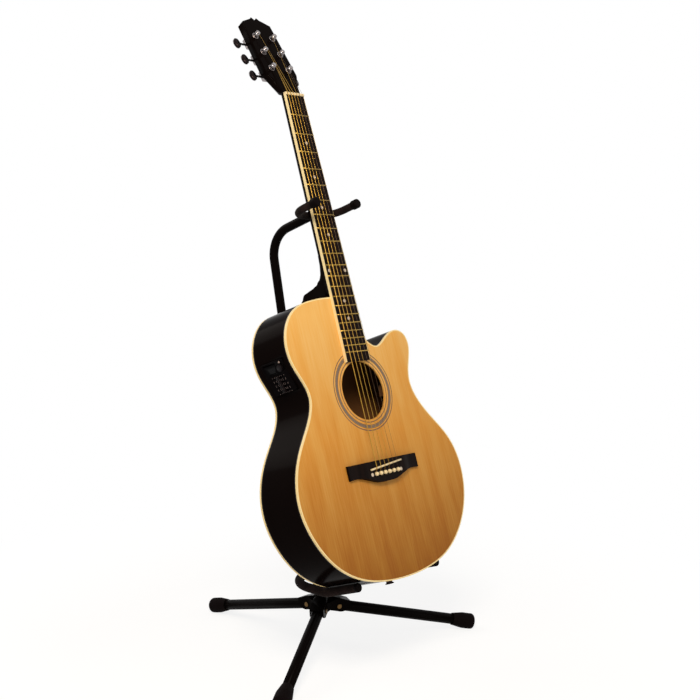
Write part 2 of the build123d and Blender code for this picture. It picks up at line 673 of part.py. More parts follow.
def string_lines():
    """Each string as the points it turns at: pin, saddle, nut and post."""
    lines = []
    for i, (side, along) in enumerate(tuner_places()):
        radius = STRING_RADII[i]
        pin_x, pin_y = pin_places()[i]
        nut_x = -NUT_SPREAD / 2 + NUT_SPREAD * i / 5
        crest = BRIDGE_H + SADDLE_RISE + radius + STRING_GAP
        saddle_x = pin_x * 0.99
        saddle_y = -saddle_distance(saddle_x)
        nut_z = BOARD_T + FRET_HEIGHT + ACTION_AT_NUT + radius
        wrap = side * (POST_X - WINDING_RADIUS - radius - REST_GAP)
        level = WINDING_BASE + WINDING_HEIGHT / 2
        lines.append((radius, [
            Vector(pin_x, pin_y + PIN_HEAD + radius + STRING_GAP, BRIDGE_H + radius + STRING_GAP),
            Vector(saddle_x, saddle_y, crest),
            Vector(nut_x, NUT_T / 2, nut_z),
            HEAD_PLANE.from_local_coords(Vector(wrap, along, level)),
        ]))
    return lines


def string_pieces(nut, saddle):
    """Six strings, and the nut and saddle with a slot cut for each."""
    strings = []
    for radius, points in string_lines():
        path = Polyline(*points)
        start = Plane(origin=path @ 0, z_dir=path % 0)
        strings.append(sweep(start * Circle(radius), path=path, transition=Transition.ROUND))
        room = radius + STRING_GAP
        crest = points[2]
        for start, end in ((crest, points[1]), (crest, points[3])):
            reach = start + (end - start).normalized() * (2 * NUT_T)
            wall = Plane(origin=(start + reach) / 2, x_dir=(reach - start), z_dir=(0, 0, 1))
            nut = nut - rod(start, reach, room)
            nut = nut - wall * Box((reach - start).length, 2 * room, 4, align=UP)
        nut = nut - Pos(*crest) * Sphere(room)
        for start, end in zip(points[:2], points[1:3]):
            reach = (end - start).normalized() * 8
            saddle = saddle - rod(points[1] - reach, points[1] + reach, room)
    return {"wound_strings": group(strings[:4]), "plain_strings": group(strings[4:]), "nut": nut,
            "saddle": saddle}


# ---------------------------------------------------------------- preamp and jack

def slider_row(number):
    """Place of a slider along the panel."""
    return -preamp_length() / 2 + 28.5 + SLIDER_PITCH * (number - 1)


def door_place():
    """Middle of the battery door on the panel."""
    return (DOOR[0] - preamp_length()) / 2 + DOOR_EDGE, (DOOR[1] - PREAMP_WIDTH) / 2 + DOOR_EDGE


def knob_place():
    """Middle of the volume knob on the panel, beside the door."""
    return door_place()[0], PREAMP_WIDTH / 2 - KNOB_EDGE


def preamp_pieces():
    """Panel and case in the side, with a battery door, sliders and a volume knob."""
    side = preamp_plane()
    length = preamp_length()
    face = PANEL_LIFT
    panel = Pos(0, 0, face) * Box(length, PREAMP_WIDTH, PANEL_T, align=DOWN)
    panel = fillet(panel.edges().filter_by(Axis.Z), 4.0)
    panel = fillet(panel.faces().sort_by(Axis.Z)[-1].edges(), 0.8)
    door_u, door_v = door_place()
    bed = Pos(door_u, door_v, face) * Box(DOOR[0] + 2 * DOOR_GAP, DOOR[1] + 2 * DOOR_GAP,
                                          DOOR_T + DOOR_GAP, align=DOWN)
    hinge = Pos(door_u - DOOR[0] / 2, door_v, face) * Rot(90, 0, 0) * Cylinder(
        DOOR_T + DOOR_GAP, DOOR[1] + 2 * DOOR_GAP)
    panel = panel - bed - hinge
    door = Pos(door_u, door_v, face) * Box(DOOR[0], DOOR[1], DOOR_T, align=DOWN)
    grip = Pos(door_u + DOOR[0] / 2 - 2.5, door_v, face) * Box(2.0, DOOR[1] * 0.5, 1.2)
    door = door - grip
    knob_u, knob_v = knob_place()
    knob = Pos(knob_u, knob_v, face + REST_GAP) * Cylinder(KNOB_RADIUS, KNOB_H, align=UP)
    knob = fillet(knob.edges().group_by(Axis.Z)[-1], 0.8)
    knob = knob - Pos(knob_u, knob_v - KNOB_RADIUS + 1, face + REST_GAP + KNOB_H) * Box(1, 3, 1.2)
    knob = knob + Pos(knob_u, knob_v, face + REST_GAP) * Cylinder(2.0, PANEL_T, align=DOWN)
    panel = panel - Pos(knob_u, knob_v, face) * Cylinder(2.0 + PIVOT_CLEARANCE, 3 * PANEL_T)
    lamp = Pos(LAMP_EDGE[0] - length / 2, PREAMP_WIDTH / 2 - LAMP_EDGE[1], face - 0.4)
    panel = panel + lamp * Sphere(LAMP_RADIUS)
    pieces = {"battery_door": side * door, "volume_knob": side * knob}
    stem_u, stem_v = SLIDER_STEM
    cap_u, cap_v, cap_h = SLIDER_CAP
    for number in range(1, SLIDERS + 1):
        row = slider_row(number)
        slot = Pos(row, 0, face) * Box(stem_u + 2 * REST_GAP, stem_v + 2 * SLIDER_TRAVEL + 2 * REST_GAP,
                                       3 * PANEL_T)
        panel = panel - slot
        cap = Pos(row, 0, face + REST_GAP) * Box(cap_u, cap_v, cap_h, align=UP)
        cap = chamfer(cap.edges().group_by(Axis.Z)[-1], 0.9)
        stem = Pos(row, 0, face + REST_GAP) * Box(stem_u, stem_v, PANEL_T, align=DOWN)
        pieces[f"eq_slider_{number}"] = side * (cap + stem)
    floor_z = face - PANEL_T
    case_length = length - 2 * CASE_MARGIN - 1
    case_width = PREAMP_WIDTH - 2 * CASE_MARGIN - 1
    case = Pos(0, 0, floor_z) * Box(case_length, case_width, CASE_DEPTH, align=DOWN)
    case = case - Pos(0, 0, floor_z) * Box(case_length - 4, case_width - 4, 6, align=DOWN)
    pieces["preamp_panel"] = side * panel
    pieces["preamp_case"] = side * case
    return pieces


def jack_piece():
    """Strap pin with the output socket in it, through the tail block."""
    profile = make_face(Polyline(
        (JACK_BORE, -TAIL_BLOCK_T - 6), (JACK_RADIUS - 0.1, -TAIL_BLOCK_T - 6), (JACK_RADIUS - 0.1, 0.2),
        (JACK_FLANGE, 0.2), (JACK_FLANGE, 1.6), (JACK_RADIUS - 0.6, 2.6), (JACK_RADIUS - 0.6, JACK_REACH - 2),
        (JACK_FLANGE - 1, JACK_REACH - 1), (JACK_FLANGE - 1, JACK_REACH),
        (JACK_BORE, JACK_REACH), (JACK_BORE, -TAIL_BLOCK_T - 6)))
    pin = revolve(Plane.XZ * profile, Axis.Z)
    plane = Plane(origin=(0, -BODY_TAIL, JACK_Z), x_dir=(1, 0, 0), z_dir=(0, -1, 0))
    return plane * pin


# ---------------------------------------------------------------- stand

def cradle_contact():
    """Where a cradle arm's axis runs below the body: its x and y in the guitar frame."""
    stand_off = CRADLE_SLEEVE + REST_GAP
    edge = min(outline().edges(), key=lambda e: e.center().X)
    low, high = 0.0, 0.5
    if (edge @ 0).Y > (edge @ 1).Y:
        low, high = 1.0, 0.5
    for _ in range(40):
        middle = (low + high) / 2
        point, heading = edge @ middle, edge % middle
        normal = Vector(heading.Y, -heading.X, 0)
        if normal.Y > 0:
            normal = normal * -1
        centre = point + normal * stand_off
        if -centre.X < CRADLE_HALF:
            low = middle
        else:
            high = middle
    return CRADLE_HALF, centre.Y


def cradle_path(side):
    """One half of the cradle: from the post out, round the corner, forwards and up under the body."""
    x, y = cradle_contact()
    knee_z = -back_depth(-y) - 3
    knee = guitar_point(x, y, knee_z)
    tip = guitar_point(x, y, CRADLE_TIP_Z)
    level = knee.Z
    beam_y = post_at(level).Y - (LOWER_TUBE[0] / cos(radians(POST_LEAN)) + CRADLE_SLEEVE)
    points = [(0, beam_y, level), (side * x, beam_y, level), (side * x, knee.Y, level),
              (side * x, tip.Y, tip.Z)]
    return FilletPolyline(*points, radius=[CRADLE_CORNER, CRADLE_KNEE])


def capped_end(path, sleeve, over):
    """A rounded cap on the end of a sleeved rod, flared over the sleeve where it has room."""
    end = Plane(origin=path @ 1, z_dir=path % 1)
    cap = Cylinder(sleeve + over, CAP_T, align=UP)
    cap = fillet(cap.edges().group_by(Axis.Z)[-1], CAP_T * 0.4)
    if over:
        skirt = Cylinder(sleeve + over, CAP_T, align=DOWN) - Cylinder(sleeve, CAP_T, align=DOWN)
        cap = cap + skirt
    return end * cap


def sleeved_part(paths, rod_radius, sleeve_radius, cap_over):
    """Rod, foam sleeve and caps that follow the same paths."""
    rods, sleeves, caps = [], [], []
    for path in paths:
        rods.append(tube_along(path, rod_radius))
        sleeves.append(tube_along(path, sleeve_radius))
        caps.append(capped_end(path, sleeve_radius, cap_over))
    return rods[0] + rods[1], sleeves, caps


def cradle_pieces():
    """Bent rod with foam sleeves, on a collar round the post."""
    paths = [cradle_path(-1), cradle_path(1)]
    frame, sleeves, caps = sleeved_part(paths, CRADLE_ROD, CRADLE_SLEEVE, 0)
    level = (paths[0] @ 0).Z
    collar_place = Plane(origin=post_at(level), x_dir=(1, 0, 0), z_dir=POST_DIR)
    outer = LOWER_TUBE[0] + COLLAR_WALL
    collar = collar_place * Cylinder(outer, COLLAR_H)
    collar = fillet(collar.edges().filter_by(GeomType.CIRCLE), 1.5)
    lug = Pos(*(paths[0] @ 0)) * Box(2 * outer, 2 * CRADLE_SLEEVE + 2, 2 * CRADLE_SLEEVE + 2)
    holder = collar + lug
    bore = collar_place * Cylinder(LOWER_TUBE[0], 4 * COLLAR_H)
    sleeves = [sleeve - holder - frame for sleeve in sleeves]
    frame = (frame + holder) - bore
    return {"cradle_frame": frame, "cradle_sleeves": group(sleeves), "cradle_caps": group(caps)}


def yoke_plane():
    """Origin behind the neck at the yoke's base, X across, Y forwards past the fingerboard."""
    base_z = -(neck_depth(YOKE_D) + YOKE_SLEEVE + REST_GAP)
    origin = guitar_point(0, -YOKE_D, base_z)
    return Plane(origin=origin, x_dir=(1, 0, 0), z_dir=-GUITAR_PLANE.y_dir)


def yoke_path(side):
    """One half of the yoke in its own plane, from behind the neck round to the tip in front."""
    plane = yoke_plane()
    points = [(0, 0), (side * YOKE_HALF, 0), (side * YOKE_HALF, YOKE_REACH)]
    local = [plane.from_local_coords(Vector(x, -y if plane.y_dir.Y > 0 else y, 0)) for x, y in points]
    return FilletPolyline(*local, radius=YOKE_CORNER)


def upright_pieces():
    """Upper tube with its bend, and the sleeved yoke at its end."""
    paths = [yoke_path(-1), yoke_path(1)]
    frame, sleeves, caps = sleeved_part(paths, YOKE_ROD, YOKE_SLEEVE, CAP_OVER)
    origin = yoke_plane().origin
    outward = -GUITAR_PLANE.z_dir
    # The post's axis and the yoke's axis meet at the corner that the bend rounds.
    gap = origin - POST_BASE
    cross = POST_DIR.Y * outward.Z - POST_DIR.Z * outward.Y
    reach = (gap.Z * POST_DIR.Y - gap.Y * POST_DIR.Z) / -cross
    corner = origin + outward * reach
    start = post_at(LOWER_TOP) - POST_DIR * UPPER_INSERT
    path = FilletPolyline(start, corner, origin, radius=BEND_RADIUS)
    tube = tube_along(path, *UPPER_TUBE)
    envelope = sleeves[0] + sleeves[1]
    tube = tube - envelope
    plug_start = origin + outward * (YOKE_SLEEVE + 24)
    plug_end = origin + outward * (YOKE_SLEEVE + 1)
    plug = rod(plug_start, plug_end, UPPER_TUBE[1])
    stub = rod(plug_end, origin, YOKE_ROD - 1)
    frame = frame + (plug - envelope) + stub
    stub_hole = rod(plug_end, origin, YOKE_ROD - 1)
    sleeve = envelope - frame - stub_hole
    return {
        "gooseneck": tube,
        "yoke_frame": frame,
        "yoke_sleeve": sleeve,
        "yoke_caps": group(caps),
    }


def leg_plane(name):
    """Origin on a leg's rivet, X down the leg to its foot, Y along the rivet, Z up."""
    azimuth, slope = radians(LEG_AZIMUTHS[name]), radians(LEG_SLOPE)
    axis = post_at(HUB_Z)
    drop = LEG_PIVOT_R * tan(slope)
    origin = Vector(LEG_PIVOT_R * cos(azimuth), axis.Y + LEG_PIVOT_R * sin(azimuth), HUB_Z - drop)
    along = Vector(cos(azimuth) * cos(slope), sin(azimuth) * cos(slope), -sin(slope))
    up = Vector(cos(azimuth) * sin(slope), sin(azimuth) * sin(slope), cos(slope))
    return Plane(origin=origin, x_dir=along, z_dir=up)


def bracket():
    """Folded channel that a leg turns in: cheeks, and a roof that stops the leg when it is open."""
    front = 19.0
    roof = LEG_RADIUS + CHEEK_GAP
    high = sqrt_sum(LEG_TAIL, LEG_RADIUS) + 0.9
    back = -high - 1.4
    side_plane = Plane(origin=(0, 0, 0), x_dir=(1, 0, 0), z_dir=(0, -1, 0))
    outer = make_face([
        Line((back - 7, -9), (back - 7, high + CHEEK_T)),
        Line((back - 7, high + CHEEK_T), (-3, high + CHEEK_T)),
        Line((-3, high + CHEEK_T), (front, roof + CHEEK_T)),
        Line((front, roof + CHEEK_T), (front, 0)),
        ThreePointArc((front, 0), (10, -7.5), (0, -9)),
        Line((0, -9), (back - 7, -9)),
    ])
    inner = make_face(Polyline((back, -30), (back, high), (-3, high), (front, roof), (front + 5, roof),
                               (front + 5, -30), (back, -30)))
    half = LEG_RADIUS + CHEEK_GAP
    channel = extrude(side_plane * outer, half + CHEEK_T, both=True)
    return channel - extrude(side_plane * inner, half, both=True)


def sqrt_sum(a, b):
    """Length of the diagonal of two sides."""
    return (a * a + b * b) ** 0.5


def rivet_hole(radius):
    return Rot(90, 0, 0) * Cylinder(radius, 4 * LEG_RADIUS)


def leg_pieces():
    """Three hinged legs, each a tube with a rubber foot."""
    pieces = {}
    length = LEG_END_R / cos(radians(LEG_SLOPE)) - LEG_PIVOT_R / cos(radians(LEG_SLOPE))
    bar = Pos(-LEG_TAIL, 0, 0) * Rot(0, 90, 0) * Cylinder(LEG_RADIUS, length + LEG_TAIL - 4, align=UP)
    bore = Pos(-LEG_TAIL, 0, 0) * Rot(0, 90, 0) * Cylinder(LEG_RADIUS - LEG_WALL, length, align=UP)
    tube = bar - bore - rivet_hole(RIVET_RADIUS + PIVOT_CLEARANCE)
    neck, taper = FOOT_NECK
    foot = Cone(neck, FOOT_RADIUS, taper, align=UP)
    foot = foot + Pos(0, 0, taper) * Cylinder(FOOT_RADIUS, FOOT_LENGTH - taper, align=UP)
    foot = fillet(foot.edges().group_by(Axis.Z)[-1], FOOT_RADIUS * 0.3)
    foot = Pos(length - FOOT_LENGTH, 0, 0) * Rot(0, 90, 0) * foot - bar
    for name in LEG_AZIMUTHS:
        plane = leg_plane(name)
        pieces[f"leg_{name}"] = plane * tube
        pieces[f"foot_{name}"] = (plane * foot) & Box(900, 900, 200, align=UP)
    return pieces


def base_pieces():
    """Hub with its three channels, their rivets, the lower tube and the height collar."""
    axis = post_at(HUB_Z)
    core = Pos(axis.X, axis.Y, HUB_Z - 14) * Cylinder(HUB_RADIUS, 24, align=UP)
    socket_place = Plane(origin=post_at(HUB_Z - 6), x_dir=(1, 0, 0), z_dir=POST_DIR)
    socket = socket_place * Cylinder(LOWER_TUBE[0] + 2.2, 40, align=UP)
    hub = core + socket
    channels, rivets, rooms = [], [], []
    half = LEG_RADIUS + CHEEK_GAP + CHEEK_T
    for name in LEG_AZIMUTHS:
        plane = leg_plane(name)
        channels.append(plane * bracket())
        shank = Rot(90, 0, 0) * Cylinder(RIVET_RADIUS, 2 * half)
        head = Cylinder(RIVET_HEAD, 1.6, align=UP)
        head = fillet(head.edges().group_by(Axis.Z)[-1], 1.0)
        heads = [Plane(origin=(0, s * half, 0), z_dir=(0, s, 0)) * head for s in (-1, 1)]
        rivets.append(plane * (shank + heads[0] + heads[1]))
        swing = sqrt_sum(LEG_TAIL, LEG_RADIUS) + 1.0
        rooms.append(plane * Rot(90, 0, 0) * Cylinder(swing, 2 * (LEG_RADIUS + CHEEK_GAP)))
    for channel in channels:
        hub = hub + channel
    for room in rooms:
        hub = hub - room
    tube_start = post_at(HUB_Z - 2)
    bore = rod(tube_start, post_at(HUB_Z + 200), LOWER_TUBE[0])
    hub = hub - bore
    for name in LEG_AZIMUTHS:
        hub = hub - leg_plane(name) * rivet_hole(RIVET_RADIUS)
    lower = rod(tube_start, post_at(LOWER_TOP), LOWER_TUBE[0])
    lower = lower - rod(tube_start, post_at(LOWER_TOP + 1), LOWER_TUBE[1])

    collar_place = Plane(origin=post_at(LOWER_TOP), x_dir=(1, 0, 0), z_dir=POST_DIR)
    outer = LOWER_TUBE[0] + COLLAR_WALL
    collar = Pos(0, 0, -22) * Cylinder(outer, 44, align=UP)
    collar = fillet(collar.edges().filter_by(GeomType.CIRCLE), 2.0)
    boss = Pos(0, 0, 11) * Rot(-90, 0, 0) * Cylinder(8.0, outer + 7, align=UP)
    collar = collar + boss
    collar = collar - Pos(0, 0, -30) * Cylinder(LOWER_TUBE[0], 30, align=UP)
    # A liner inside the lower tube guides the upper one.
    collar = collar + Cylinder(LOWER_TUBE[1], LINER_LENGTH, align=DOWN)
    collar = collar - Cylinder(TUBE_BORE, 4 * LINER_LENGTH)
    collar = collar - Pos(0, 0, 11) * Rot(-90, 0, 0) * Cylinder(CLAMP_SCREW + PIVOT_CLEARANCE, 60, align=UP)
    screw_start = UPPER_TUBE[0] + REST_GAP
    knob_seat = outer + 7 + REST_GAP
    screw = Pos(0, 0, screw_start) * Cylinder(CLAMP_SCREW, knob_seat - screw_start + 2, align=UP)
    lobes = Cylinder(CLAMP_KNOB_RADIUS * 0.72, 12, align=UP)
    for k in range(5):
        lobes = lobes + Rot(0, 0, 72 * k) * Pos(CLAMP_KNOB_RADIUS * 0.66, 0, 0) * Cylinder(
            CLAMP_KNOB_RADIUS * 0.34, 12, align=UP)
    knob = screw + Pos(0, 0, knob_seat) * lobes
    knob = Pos(0, 0, 11) * Rot(-90, 0, 0) * knob
    return {
        "hub": hub,
        "leg_rivets": group(rivets),
        "lower_tube": lower,
        "height_collar": collar_place * collar,
        "clamp_knob": collar_place * knob,
    }


# ---------------------------------------------------------------- assembly

def build():
    """Every piece by name, in a frame whose origin is the middle of the footprint on the floor."""
    guitar = {}
    guitar.update(body_pieces())
    guitar.update(neck_pieces())
    guitar.update(fingerboard_pieces())
    bridge, bridge_dots = bridge_pieces()
    guitar.update(bridge)
    guitar["pearl_dots"] = group([guitar["pearl_dots"], bridge_dots])
    guitar.update(string_pieces(guitar["nut"], guitar["saddle"]))
    guitar.update(tuner_pieces())
    guitar.update(preamp_pieces())
    guitar["end_pin_jack"] = jack_piece()
    pieces = {name: GUITAR_PLANE * shape for name, shape in guitar.items()}
    pieces.update(cradle_pieces())
    pieces.update(upright_pieces())
    pieces.update(leg_pieces())
    pieces.update(base_pieces())
    box = Compound([solid for shape in pieces.values() for solid in shape.solids()]).bounding_box()
    centre = box.center()
    shift = Pos(-centre.X, -centre.Y, -box.min.Z)
    return {name: shift * shape for name, shape in pieces.items()}, shift


def main():
    os.makedirs("parts", exist_ok=True)
    pieces, _ = build()
    for name, shape in pieces.items():
        export_step(shape, f"parts/{name}.step")


if __name__ == "__main__":
    main()
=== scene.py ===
"""Dresses an acoustic-electric guitar that rests in a folding tubular stand.

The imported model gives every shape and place.  This script gives each piece its finish, carves the
neck's heel, adds the small print and the lamp's lens, and sets up the studio.
"""

from __future__ import annotations

import json
import logging
import math
from collections.abc import Callable
from dataclasses import dataclass, field
from enum import Enum

import bmesh
import bpy
from mathutils import Matrix, Vector

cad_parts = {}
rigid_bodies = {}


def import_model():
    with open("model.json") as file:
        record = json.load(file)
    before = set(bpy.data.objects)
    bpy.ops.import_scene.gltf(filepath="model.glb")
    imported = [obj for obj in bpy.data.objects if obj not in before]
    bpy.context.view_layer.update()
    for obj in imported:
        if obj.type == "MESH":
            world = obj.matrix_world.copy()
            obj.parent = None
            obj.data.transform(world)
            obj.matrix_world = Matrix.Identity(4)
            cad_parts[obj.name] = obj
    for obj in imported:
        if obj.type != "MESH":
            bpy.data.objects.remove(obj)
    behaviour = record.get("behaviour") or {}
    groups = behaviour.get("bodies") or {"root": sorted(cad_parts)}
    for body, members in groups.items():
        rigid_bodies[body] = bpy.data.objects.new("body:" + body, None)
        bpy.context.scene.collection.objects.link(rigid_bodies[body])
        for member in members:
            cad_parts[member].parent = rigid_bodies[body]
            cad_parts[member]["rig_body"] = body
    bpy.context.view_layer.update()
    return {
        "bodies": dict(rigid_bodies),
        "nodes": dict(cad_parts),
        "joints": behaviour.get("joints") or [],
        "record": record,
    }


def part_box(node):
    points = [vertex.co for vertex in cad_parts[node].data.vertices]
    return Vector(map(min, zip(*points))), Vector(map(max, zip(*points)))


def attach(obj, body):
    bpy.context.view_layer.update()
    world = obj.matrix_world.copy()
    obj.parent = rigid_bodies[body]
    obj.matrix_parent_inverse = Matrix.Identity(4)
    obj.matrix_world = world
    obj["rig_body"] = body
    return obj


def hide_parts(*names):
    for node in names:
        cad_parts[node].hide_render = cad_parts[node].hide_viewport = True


# Short names for the types that signatures and fields repeat.
Pair = tuple[float, float]
Triple = tuple[float, float, float]
Object = bpy.types.Object
Tree = bpy.types.NodeTree
Node = bpy.types.Node
Socket = bpy.types.NodeSocket

LOG = logging.getLogger("guitar")
MM = 0.001
WHITE = "FFFFFF"
# Vertices nearer than this are merged, and anything smaller than the second is dropped.
WELD = 0.002 * MM
SPECK = 0.001 * MM
# Edges that turn more than this stay sharp, and those that turn less than the second go.
SHARP = math.radians(32.0)
FLAT = math.radians(0.5)
# Sockets of a colour Mix node, whose names repeat: its factor, its two colours and its result.
FACTOR, FIRST, SECOND, MIXED = 0, 6, 7, 2
# A Wave Texture of scale 1 repeats at about this distance, in metres.
WAVE_LENGTH = 0.31


# ------------------------------------------------------------------ colour and nodes


def linear(hex_colour: str) -> tuple[float, float, float, float]:
    """Turns an sRGB hex colour into the linear RGBA that shaders take.

    Args:
        hex_colour: six hex digits, such as "E8B56C".

    Returns:
        Red, green, blue and an alpha of 1.
    """
    channels = [int(hex_colour[i:i + 2], 16) / 255 for i in (0, 2, 4)]
    low = [c / 12.92 if c <= 0.04045 else ((c + 0.055) / 1.055) ** 2.4 for c in channels]
    return (low[0], low[1], low[2], 1.0)


def add_node(tree: Tree, kind: str, settings: dict | None = None,
             links: dict | None = None) -> Node:
    """Adds one node with its settings and links.

    Args:
        tree: the material's node tree.
        kind: the node's type, without the ShaderNode that each type starts with.
        settings: properties by name, or input values by socket name or number.
        links: by the input's name or number, an output socket, or a node for its first output.

    Returns:
        The new node.
    """
    node = tree.nodes.new("ShaderNode" + kind)
    for key, value in (settings or {}).items():
        if isinstance(key, str) and hasattr(node, key):
            setattr(node, key, value)
        else:
            node.inputs[key].default_value = value
    for key, source in (links or {}).items():
        output = source if isinstance(source, Socket) else source.outputs[0]
        tree.links.new(output, node.inputs[key])
    return node


class Steps(Enum):
    """How a ramp of colours runs between its stops."""

    SMOOTH = "LINEAR"
    HARD = "CONSTANT"


def set_ramp(node: Node, *stops: tuple[float, str], steps: Steps = Steps.SMOOTH) -> None:
    """Gives a ColorRamp its stops.

    Args:
        node: the ColorRamp node.
        stops: places from 0 to 1, each with its sRGB hex colour.
        steps: how the colours change between the stops.
    """
    node.color_ramp.interpolation = steps.value
    elements = node.color_ramp.elements
    while len(elements) < len(stops):
        elements.new(1.0)
    for element, (place, colour) in zip(elements, stops):
        element.position = place
        element.color = linear(colour)


def add_object(name: str, data: bpy.types.ID) -> Object:
    """Adds an object to the scene.

    Args:
        name: its name.
        data: its mesh, lamp or camera.

    Returns:
        The new object.
    """
    thing = bpy.data.objects.new(name, data)
    bpy.context.scene.collection.objects.link(thing)
    return thing


# ------------------------------------------------------------------ the guitar's own frame


@dataclass
class GuitarFrame:
    """Where the guitar lies: X to the treble side, Y up from the nut, Z out of the soundboard.

    Attributes:
        lean: the soundboard's lean back from upright, in radians.
        nut: the point on the soundboard's plane below the nut, in metres.
    """

    lean: float
    nut: Vector

    @classmethod
    def from_model(cls, frame: dict) -> "GuitarFrame":
        """Reads the lean from the lift-off joint and the origin from the fingerboard's corners.


        Returns:
            The guitar's frame.
        """
        lift = next(j for j in frame["joints"] if j["name"] == "guitar_lift_off")
        lean = math.asin(Vector(lift["axis"]).normalized().z)
        low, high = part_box("fingerboard_binding")
        # The leaning box shows both the board's length and its rise, so each corrects the other.
        board_length = (high.z - low.z) / math.cos(lean)
        board_rise = (high.y - low.y - board_length * math.sin(lean)) / math.cos(lean)
        board_length -= board_rise * math.tan(lean)
        board_rise = (high.y - low.y - board_length * math.sin(lean)) / math.cos(lean)
        nut = Vector(((low.x + high.x) / 2, high.y, high.z - board_rise * math.sin(lean)))
        return cls(lean, nut)

    def matrix(self) -> Matrix:
        """Works out how the guitar's frame lies in the model's.

        Returns:
            The matrix from the guitar's frame to the model's.
        """
        x_axis = Vector((1, 0, 0))
        y_axis = Vector((0, math.sin(self.lean), math.cos(self.lean)))
        z_axis = Vector((0, -math.cos(self.lean), math.sin(self.lean)))
        turn = Matrix((x_axis, y_axis, z_axis)).transposed().to_4x4()
        return Matrix.Translation(self.nut) @ turn

    def point(self, x: float, y: float, z: float) -> Vector:
        """A point given in millimetres of the guitar's frame, in the model's metres."""
        return self.matrix() @ (Vector((x, y, z)) * MM)

    def place(self, tree: Tree, origin: Vector | None = None) -> Socket:
        """Gives a material its coordinates in the guitar's frame, in metres.

        Args:
            tree: the material's node tree.
            origin: the point to count from in the model's metres, or None for the nut.

        Returns:
            The socket with the coordinates.
        """
        turn = self.lean - math.pi / 2
        shift = Matrix.Rotation(turn, 3, "X") @ -(self.nut if origin is None else origin)
        settings = {"vector_type": "POINT", "Rotation": (turn, 0.0, 0.0), "Location": tuple(shift)}
        place = add_node(tree, "TexCoord").outputs["Object"]
        return add_node(tree, "Mapping", settings, {"Vector": place}).outputs["Vector"]


def between(table: tuple[Pair, ...], at: float) -> float:
    """Reads a value from a table of rising places, with straight lines between them.

    Args:
        table: pairs of place and value.
        at: the place to read.

    Returns:
        The value there, or the end's value beyond the table.
    """
    if at <= table[0][0]:
        return table[0][1]
    for (low, first), (high, second) in zip(table, table[1:]):
        if at <= high:
            return first + (second - first) * (at - low) / (high - low)
    return table[-1][1]


# ------------------------------------------------------------------ finishes


@dataclass(frozen=True)
class Finish:
    """A plain finish with a little unevenness in its colour, gloss and surface.

    Attributes:
        name: the finish in a maker's words.
        colour: its sRGB hex colour.
        roughness: how dull it is.
        metallic: 1 for bare metal.
        ior: index of refraction of a finish that isn't metal.
        specular: how strongly a finish that isn't metal mirrors, where 0.5 is plain.
        grain_mm: the size of its surface unevenness.
        patch_mm: the size of the patches in which its colour varies.
        bump: height of that unevenness as a share of 1 mm.
        relief: how much of that height shows.
        mottle: how far its colour and gloss vary.
    """

    name: str
    colour: str
    roughness: float
    metallic: float = 0.0
    ior: float = 1.5
    specular: float = 0.5
    grain_mm: float = 3.0
    patch_mm: float = 30.0
    bump: float = 0.02
    relief: float = 1.0
    mottle: float = 0.08

    def material(self, guitar: GuitarFrame) -> bpy.types.Material:
        """Builds the material.

        Args:
            guitar: the guitar's frame, for the finishes whose pattern follows it.

        Returns:
            The node material.
        """
        material = bpy.data.materials.new(self.name)
        material.use_nodes = True
        shader = material.node_tree.nodes["Principled BSDF"]
        shader.inputs["Base Color"].default_value = linear(self.colour)
        shader.inputs["Roughness"].default_value = self.roughness
        shader.inputs["Metallic"].default_value = self.metallic
        if not self.metallic:
            shader.inputs["IOR"].default_value = self.ior
            shader.inputs["Specular IOR Level"].default_value = self.specular
        self.dress(material.node_tree, shader, guitar)
        return material

    def surface(self, tree: Tree, shader: Node, colour: Socket, height: Socket) -> None:
        """Lays a pattern of colour on the surface and raises it by another pattern.

        Args:
            tree: the material's node tree.
            shader: its Principled BSDF.
            colour: the socket with the colour.
            height: the socket with the height, where 1 is the finish's bump.
        """
        tree.links.new(colour, shader.inputs["Base Color"])
        bump = add_node(tree, "Bump",
                        {"Strength": self.relief, "Distance": self.bump * MM}, {"Height": height})
        tree.links.new(bump.outputs["Normal"], shader.inputs["Normal"])

    def dress(self, tree: Tree, shader: Node, guitar: GuitarFrame) -> None:
        """Adds the unevenness: a fine noise in gloss and surface, and wider patches of colour.

        Args:
            tree: the material's node tree.
            shader: its Principled BSDF.
            guitar: the guitar's frame; not used here.
        """
        place = add_node(tree, "TexCoord").outputs["Object"]
        grain = add_node(tree, "TexNoise",
                         {"Scale": 1 / (self.grain_mm * MM), "Detail": 3.0}, {"Vector": place})
        patches = add_node(tree, "TexNoise",
                           {"Scale": 1 / (self.patch_mm * MM), "Detail": 2.0}, {"Vector": place})
        shade = add_node(tree, "MapRange", {"To Min": 1 - 2 * self.mottle}, {"Value": patches})
        tint = add_node(tree, "Mix", {"data_type": "RGBA", "blend_type": "MULTIPLY", FACTOR: 1.0,
                                      FIRST: linear(self.colour)}, {SECOND: shade})
        gloss = add_node(tree, "MapRange", {"To Min": self.roughness * (1 - self.mottle),
                                            "To Max": self.roughness * (1 + 2 * self.mottle)},
                         {"Value": grain})
        tree.links.new(gloss.outputs["Result"], shader.inputs["Roughness"])
        self.surface(tree, shader, tint.outputs[MIXED], grain.outputs["Fac"])


